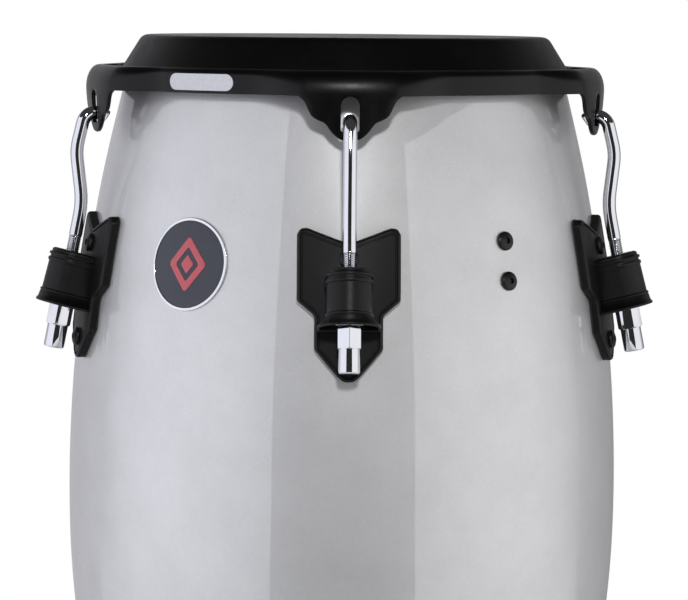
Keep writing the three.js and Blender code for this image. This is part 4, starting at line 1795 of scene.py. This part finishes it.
@dataclass
class LugCasting:
    """Cast lug: a notched plate that follows the shell, and a ringed barrel that flares to a skirt."""

    lug: LugFrame
    bolt: SocketBolt
    plate_top_drop: float = 128.7
    plate_width: float = 71.0
    plate_height: float = 104.0
    plate_offset: float = 1.6
    plate_thickness: float = 5.0
    plate_round: float = 2.0
    round_steps: int = 6
    slices: float = 4.0
    border: tuple[Point, ...] = ((0.2, 0.0), (0.7, -0.9), (1.5, -0.9), (1.9, -0.3))
    corner_rounds: tuple[float, ...] = (0.8, 4.0, 4.0, 3.5, 3.5, 5.0, 5.0, 6.0, 6.0)
    outline_shares: tuple[Point, ...] = (
        (0.0, 0.105), (0.80, 0.004), (0.93, 0.006), (1.0, 0.045), (1.0, 0.475), (0.662, 0.57), (0.662, 0.79),
        (0.22, 0.965), (0.1, 1.0),
    )
    gasket_offset: float = GAP
    gasket_thickness: float = 1.0
    barrel_section: tuple[Point, ...] = (
        (13.4, 12.5), (14.8, 11.6), (14.9, 10.0), (15.2, 9.4), (16.2, 9.1), (16.4, 8.3), (16.2, 7.4), (15.2, 7.1),
        (15.1, 6.2), (15.3, 5.5), (16.2, 5.2), (16.4, 4.0), (16.1, 2.9), (15.4, 2.6), (15.4, -17.2), (15.8, -17.6),
        (16.4, -18.0), (16.4, -18.9), (16.0, -19.4), (16.6, -20.6), (18.0, -22.4), (20.2, -24.5), (21.4, -25.6),
        (21.5, -26.4), (21.3, -27.0), (20.6, -27.2),
    )
    skirt_start: float = -19.4
    skirt_ease: float = 6.0
    skirt_reach_share: float = 0.81
    hollow_section: tuple[Point, ...] = (
        (14.6, -21.4), (15.6, -21.8), (17.6, -24.0), (19.3, -25.9), (19.8, -26.6), (19.8, -29.0),
    )
    hollow_back: float = 9.0
    barrel_back: float = 16.0
    barrel_steps: int = 36
    drill_steps: int = 40
    rod_hole_span: Point = (-60.0, 40.0)
    bolt_hole_span: Point = (-30.0, 30.0)
    trim_steps: int = 180
    trim_rows: tuple[float, ...] = tuple(480.0 + 10 * row for row in range(20))
    rod_hole_radius: float = 6.8
    recess_radius: float = 11.3
    bolt_hole_radius: float = 3.3
    recess_floor: float = -24.0
    bolt_drops: Point = (21.9, 89.3)
    bolt_tip: float = -17.8

    def outline(self) -> RoundedOutline:
        """The plate's outline, round from the notch.

        Returns:
            The outline.
        """
        top = DRUM_TOP - self.plate_top_drop
        right = [(share * self.plate_width / 2, top - down * self.plate_height)
                 for share, down in self.outline_shares]
        left = [(-x, z) for x, z in reversed(right[1:])]
        return RoundedOutline((*right, *left), (*self.corner_rounds, *reversed(self.corner_rounds[1:])))

    def make_plate(self) -> bmesh.types.BMesh:
        """The plate, rounded at its edge, grooved inside its border and bent to the shell.

        Returns:
            The plate.
        """
        round_, top = self.plate_round, self.plate_thickness
        edge = [(round_ - x, top - round_ + rise) for x, rise in arc((0.0, 0.0), round_, 0, 90, self.round_steps)]
        groove = [(round_ + inset, top + rise) for inset, rise in self.border]
        return self.sheet([(0.0, 0.0), *edge, *groove], self.plate_offset)

    def sheet(self, rings: Sequence[Point], offset: float) -> bmesh.types.BMesh:
        """Rings of the plate's outline as a solid, bent to the shell at an offset from it."""
        return self.lug.shell.wrap(sliced(self.outline().solid(rings), self.slices), offset)

    def half_turned(self, section: Sequence[Point], back: float) -> bmesh.types.BMesh:
        """A section turned half round the front and drawn straight back, squeezed at the skirt.

        Args:
            section: distance from the barrel's axis and height, from the top down.
            back: how far it is drawn back.

        Returns:
            The solid, on the barrel's axis.
        """
        bm = chain([(0, section[0][1]), *section, (0, section[-1][1])], closed=True)
        bm.faces.new(list(bm.verts))
        bmesh.ops.spin(bm, geom=[*bm.verts, *bm.edges, *bm.faces], cent=(0, 0, 0), axis=(0, 0, 1), dvec=(0, 0, 0),
                       angle=-math.pi, steps=self.barrel_steps, use_duplicate=False)
        cleaned(bm)
        flats = [f for f in bm.faces if all(abs(v.co.y) < GAP for v in f.verts)]
        around = {part for face in flats for part in (*face.verts, *face.edges)}
        made = bmesh.ops.extrude_face_region(bm, geom=[*flats, *around])["geom"]
        bmesh.ops.translate(bm, vec=(0, back, 0), verts=[v for v in made if isinstance(v, bmesh.types.BMVert)])
        for v in bm.verts:
            if v.co.z < self.skirt_start and v.co.y < 0:
                v.co.y *= lerp(1.0, self.skirt_reach_share, smooth((self.skirt_start - v.co.z) / self.skirt_ease))
        bmesh.ops.recalc_face_normals(bm, faces=list(bm.faces))
        bm.transform(self.lug.barrel)
        return bm

    def drill(self, radius: float, low: float, high: float, place: Matrix) -> bmesh.types.BMesh:
        """A plain round cutter.

        Args:
            radius: its radius.
            low: its lower end along the axis.
            high: its upper end.
            place: what moves it from Z to its axis.

        Returns:
            The cutter.
        """
        bm = bmesh.new()
        bmesh.ops.create_cone(bm, cap_ends=True, segments=self.drill_steps, radius1=radius, radius2=radius,
                              depth=high - low)
        bmesh.ops.translate(bm, vec=(0, 0, (low + high) / 2), verts=list(bm.verts))
        bm.transform(place)
        return bm

    def make_casting(self) -> bmesh.types.BMesh:
        """Plate and barrel as one casting, drilled for the rod and hollowed under the skirt.

        Returns:
            The casting.
        """
        inside = self.inside_of_plate()
        barrel = joined(self.half_turned(self.barrel_section, self.barrel_back), [inside], Join.CUT)
        casting = joined(self.make_plate(), [barrel], Join.ADD)
        boss = self.drill(self.recess_radius, self.recess_floor, 0, self.lug.leg)
        hollow = joined(self.half_turned(self.hollow_section, self.hollow_back), [boss], Join.CUT)
        hole = self.drill(self.rod_hole_radius, *self.rod_hole_span, self.lug.leg)
        bolts = [self.drill(self.bolt_hole_radius, *self.bolt_hole_span, self.lug.shell.out_of(height))
                 for height in self.bolt_heights()]
        return joined(casting, [hollow, hole, *bolts], Join.CUT)

    def inside_of_plate(self) -> bmesh.types.BMesh:
        """Everything behind the plate's middle, to trim the barrel's back.

        Returns:
            The solid.
        """
        middle = self.plate_offset + self.plate_thickness / 2
        rows = self.trim_rows
        section = [(0, rows[0]), *[(self.lug.shell.radius(h) + middle, h) for h in rows], (0, rows[-1])]
        return turned(chain(section), self.trim_steps)

    def bolt_heights(self) -> list[float]:
        """Heights of the two bolts."""
        return [DRUM_TOP - self.plate_top_drop - drop for drop in self.bolt_drops]

    def make_gasket(self) -> bmesh.types.BMesh:
        """The thin rubber sheet behind the plate."""
        return self.sheet([(0.0, 0.0), (0.0, self.gasket_thickness)], self.gasket_offset)

    def build(self, azimuths: Sequence[float]) -> None:
        """Builds the castings, gaskets and bolts.

        Args:
            azimuths: where the lugs stand round the drum.
        """
        casting = self.make_casting()
        Piece("cast_lug", casting, CAST_COAT, Slot.SATIN, replaces=("lug_casting",)).place(azimuths, True)
        Piece("gasket", self.make_gasket(), RUBBER, Slot.RUBBER, replaces=("lug_gasket",)).place(azimuths, True)
        seat = self.plate_offset + self.plate_thickness
        for name, height in zip(("upper", "lower"), self.bolt_heights()):
            shape = self.bolt.shape(height, seat, self.bolt_tip)
            Piece(f"{name}_screw", shape, OXIDE, Slot.BLACK_STEEL, replaces=(f"{name}_bolt",)).place(azimuths, True)


# Camera, light and floor


@dataclass(frozen=True)
class Panel:
    """A curved studio panel round the drum, unseen by the camera.

    Its azimuths are in degrees, and its distances and heights in metres.
    """

    name: str
    azimuths: Point
    radiance: Colour
    profile: tuple[Point, ...]
    fade: Point | None = None
    lights: bool = True


@dataclass
class Studio:
    """Camera, floor, world, lamp and panels.

    The camera's distance and rise are in millimetres, from the drum's axis and top. The rest is in metres.
    """

    distance: float = 2259.8
    rise: float = 23.1
    swing: float = 0.0201
    yaw: float = 0.0204
    pitch: float = 0.0967
    roll: float = 0.0082
    lens: float = 159.61
    sensor: float = 36.0
    sight: float = 100.0
    panels: tuple[Panel, ...] = (
        Panel("left_wall", (-118, -29), (1.1, 1.11, 1.2), ((2.3, -0.2), (2.3, 1.95)), (-0.1, 1.9)),
        Panel("right_wall", (28, 112), (1.12, 1.12, 1.14), ((2.3, -0.2), (2.3, 1.6)), (-0.3, 1.7)),
        Panel("left_floor", (-118, -29), (1.1, 1.11, 1.2), ((1.3, 0.002), (2.3, 0.002)), (-0.1, 1.9), False),
        Panel("right_floor", (28, 112), (1.12, 1.12, 1.14), ((1.3, 0.002), (2.3, 0.002)), (-0.3, 1.7), False),
        Panel("left_back", (-172, -118), (0.5, 0.5, 0.53), ((1.0, 0.002), (2.3, 0.002), (2.3, 2.1)), lights=False),
        Panel("right_back", (112, 172), (0.3, 0.3, 0.31), ((1.0, 0.002), (2.3, 0.002), (2.3, 2.1)), lights=False),
        Panel("dark_sweep", (-29, 28), (0.03, 0.03, 0.03), ((1.3, 0.002), (3.4, 0.002), (3.4, 3.6)), lights=False),
    )
    panel_steps: int = 32
    circle_steps: int = 64
    ceiling_height: float = 3.2
    ceiling_radius: float = 7.0
    ceiling_tone: float = 0.05
    key_azimuth: float = 1.8
    key_elevation: float = 24.5
    key_distance: float = 3.0
    key_size: Point = (0.26, 0.26)
    key_radiance: float = 104.0
    key_aim: float = 0.66
    ambient: float = 0.03
    floor_radius: float = 40.0
    floor_drop: float = 0.0005
    floor_roughness: float = 0.8
    floor_mottle: float = 0.985
    floor_tone: float = 0.82
    floor_fade: Point = (0.45, 1.3)
    floor_lift: float = 0.55

    def make_camera(self) -> None:
        """The camera at the photograph's angle."""
        aim, down = self.yaw, self.pitch
        forward = Vector((math.sin(aim) * math.cos(down), math.cos(aim) * math.cos(down), -math.sin(down)))
        right = Vector((math.cos(aim), -math.sin(aim), 0))
        up = right.cross(forward)
        right, up = (right * math.cos(self.roll) + up * math.sin(self.roll),
                     up * math.cos(self.roll) - right * math.sin(self.roll))
        data = bpy.data.cameras.new("camera")
        data.lens = self.lens
        data.sensor_width = self.sensor
        data.clip_end = self.sight
        camera = bpy.data.objects.new("camera", data)
        turn = Matrix((right, up, -forward)).transposed().to_4x4()
        place = Vector((-self.distance * math.sin(self.swing), AXIS_Y - self.distance * math.cos(self.swing),
                        DRUM_TOP + self.rise)) * MM
        camera.matrix_world = Matrix.Translation(place) @ turn
        bpy.context.scene.collection.objects.link(camera)
        bpy.context.scene.camera = camera

    def glow(self, name: str, colour: Colour, fade: Point | None = None) -> bpy.types.Material:
        """A glowing material.

        Args:
            name: its name.
            colour: its brightness by colour.
            fade: distances behind the drum between which it fades out.

        Returns:
            The material.
        """
        material = bpy.data.materials.new(name)
        material.use_nodes = True
        graph = Graph(material.node_tree)
        glow = graph.add("Emission", {"Color": (*colour, 1.0)})
        if fade:
            place = graph.add("SeparateXYZ", {0: graph.add("TexCoord").outputs["Object"]})
            graph.tree.links.new(graph.remap(place.outputs["Y"], *fade, 1.0, 0.0), glow.inputs["Strength"])
        graph.tree.links.new(glow.outputs[0], material.node_tree.nodes["Material Output"].inputs[0])
        return material

    def hide(self, obj: bpy.types.Object, lights: bool) -> None:
        """Keeps a studio panel out of the camera's sight, and out of the light unless it gives some.

        Args:
            obj: the panel.
            lights: whether it lights the drum.
        """
        obj.visible_camera = obj.visible_shadow = False
        obj.visible_diffuse = lights

    def make_panel(self, panel: Panel) -> None:
        """A wall of light or a dark curtain, curved round the drum.

        Args:
            panel: its place and brightness.
        """
        start, end = (math.radians(azimuth) for azimuth in panel.azimuths)
        bm = chain(panel.profile)
        bm.transform(Matrix.Rotation(start - math.pi / 2, 4, "Z"))
        bmesh.ops.spin(bm, geom=list(bm.verts) + list(bm.edges), cent=(0, 0, 0), axis=(0, 0, 1), dvec=(0, 0, 0),
                       angle=end - start, steps=self.panel_steps, use_duplicate=False)
        obj = to_object(bm, panel.name)
        obj.data.materials.append(self.glow(panel.name.replace("_", " "), panel.radiance, panel.fade))
        self.hide(obj, panel.lights)

    def make_ceiling(self) -> None:
        """A dark ceiling, seen only in reflections."""
        bm = bmesh.new()
        bmesh.ops.create_circle(bm, cap_ends=True, radius=self.ceiling_radius, segments=self.circle_steps)
        bmesh.ops.translate(bm, vec=(0, 0, self.ceiling_height), verts=list(bm.verts))
        obj = to_object(bm, "dark_ceiling")
        obj.data.materials.append(self.glow("dark ceiling", (self.ceiling_tone,) * 3))
        self.hide(obj, False)

    def make_key(self) -> None:
        """The soft lamp high in front."""
        data = bpy.data.lights.new("high_lamp", "AREA")
        data.shape = "RECTANGLE"
        data.size, data.size_y = self.key_size
        data.energy = self.key_radiance * math.pi * data.size * data.size_y
        lamp = bpy.data.objects.new("high_lamp", data)
        rise, swing = math.radians(self.key_elevation), math.radians(self.key_azimuth)
        out = Vector((math.sin(swing) * math.cos(rise), -math.cos(swing) * math.cos(rise), math.sin(rise)))
        lamp.location = out * self.key_distance + Vector((0, AXIS_Y * MM, self.key_aim))
        lamp.rotation_euler = (-out).to_track_quat("-Z", "Y").to_euler()
        lamp.visible_camera = False
        bpy.context.scene.collection.objects.link(lamp)

    def seen(self, graph: Graph) -> bpy.types.NodeSocket:
        """Whether a ray comes straight from the camera or from a mirror or glass.

        Args:
            graph: the material's nodes.

        Returns:
            1 where it does, 0 elsewhere.
        """
        rays = graph.add("LightPath")
        seen = graph.math("MAXIMUM", rays.outputs["Is Camera Ray"], rays.outputs["Is Glossy Ray"])
        return graph.math("MAXIMUM", seen, rays.outputs["Is Transmission Ray"])

    def make_floor(self) -> None:
        """A pale round floor that keeps the drum's shadow and fades to white."""
        bm = bmesh.new()
        bmesh.ops.create_circle(bm, cap_ends=True, radius=self.floor_radius, segments=self.circle_steps)
        bmesh.ops.translate(bm, vec=(0, 0, -self.floor_drop), verts=list(bm.verts))
        obj = to_object(bm, "floor")
        material = bpy.data.materials.new("Pale floor")
        material.use_nodes = True
        graph = Graph(material.node_tree)
        place = graph.add("TexCoord").outputs["Object"]
        away = graph.add("VectorMath", {0: place}, operation="LENGTH").outputs["Value"]
        far = graph.remap(away, *self.floor_fade)
        plain = (self.floor_tone,) * 3
        tone = graph.mix(graph.noise(place, scale=3.0), shade(self.floor_mottle, plain), plain)
        surface = material.node_tree.nodes["Principled BSDF"]
        graph.tree.links.new(tone, surface.inputs["Base Color"])
        surface.inputs["Roughness"].default_value = self.floor_roughness
        white = graph.add("Emission", {"Color": (1, 1, 1, 1)})
        lift = graph.math("MULTIPLY", graph.add("LightPath").outputs["Is Camera Ray"], self.floor_lift)
        share = graph.math("MAXIMUM", graph.math("MULTIPLY", far, self.seen(graph)), lift)
        blend = graph.add("MixShader", {0: share, 1: surface.outputs[0], 2: white.outputs[0]})
        graph.tree.links.new(blend.outputs[0], material.node_tree.nodes["Material Output"].inputs[0])
        obj.data.materials.append(material)

    def make_world(self) -> None:
        """White where it is seen or mirrored, softer as light."""
        world = bpy.data.worlds.new("studio")
        bpy.context.scene.world = world
        world.use_nodes = True
        graph = Graph(world.node_tree)
        level = graph.math("ADD", graph.math("MULTIPLY", self.seen(graph), 1 - self.ambient), self.ambient)
        sky = world.node_tree.nodes["Background"]
        sky.inputs["Color"].default_value = (1, 1, 1, 1)
        graph.tree.links.new(level, sky.inputs["Strength"])

    def build(self) -> None:
        """Sets the whole studio."""
        self.make_camera()
        for panel in self.panels:
            self.make_panel(panel)
        self.make_ceiling()
        self.make_key()
        self.make_floor()
        self.make_world()
        bpy.context.scene.view_settings.view_transform = "Standard"
        log.info("studio: camera, lamp, %d panels, ceiling and floor", len(self.panels))


def dress_frame_nodes() -> None:
    """Gives the frame's own nodes that stay in view, inside the shell, their zinc finish."""
    names = ["accessory_plate"]
    for lug in range(1, LUG_COUNT + 1):
        names += [f"upper_inner_nut_{lug}", f"lower_inner_nut_{lug}", f"backing_plate_{lug}"]
    for name in names:
        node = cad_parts[name]
        node.data.materials.clear()
        node.data.materials.append(ZINC.material())
    log.info("frame nodes dressed: %d", len(names))


def main() -> None:
    """Builds the drum and its studio."""
    azimuths = [lug * LUG_SPACING for lug in range(LUG_COUNT)]
    shell = Shell()
    shell.build()
    Head().build()
    Rim().build()
    bolt = SocketBolt(shell)
    lug = LugFrame(shell)
    LugCasting(lug, bolt).build(azimuths)
    TensionRod(lug).build(azimuths)
    TensionNut(lug).build(azimuths)
    Badge(shell).build()
    AccessoryBolts(bolt).build()
    dress_frame_nodes()
    Studio().build()


if __name__ == "__main__":
    main()
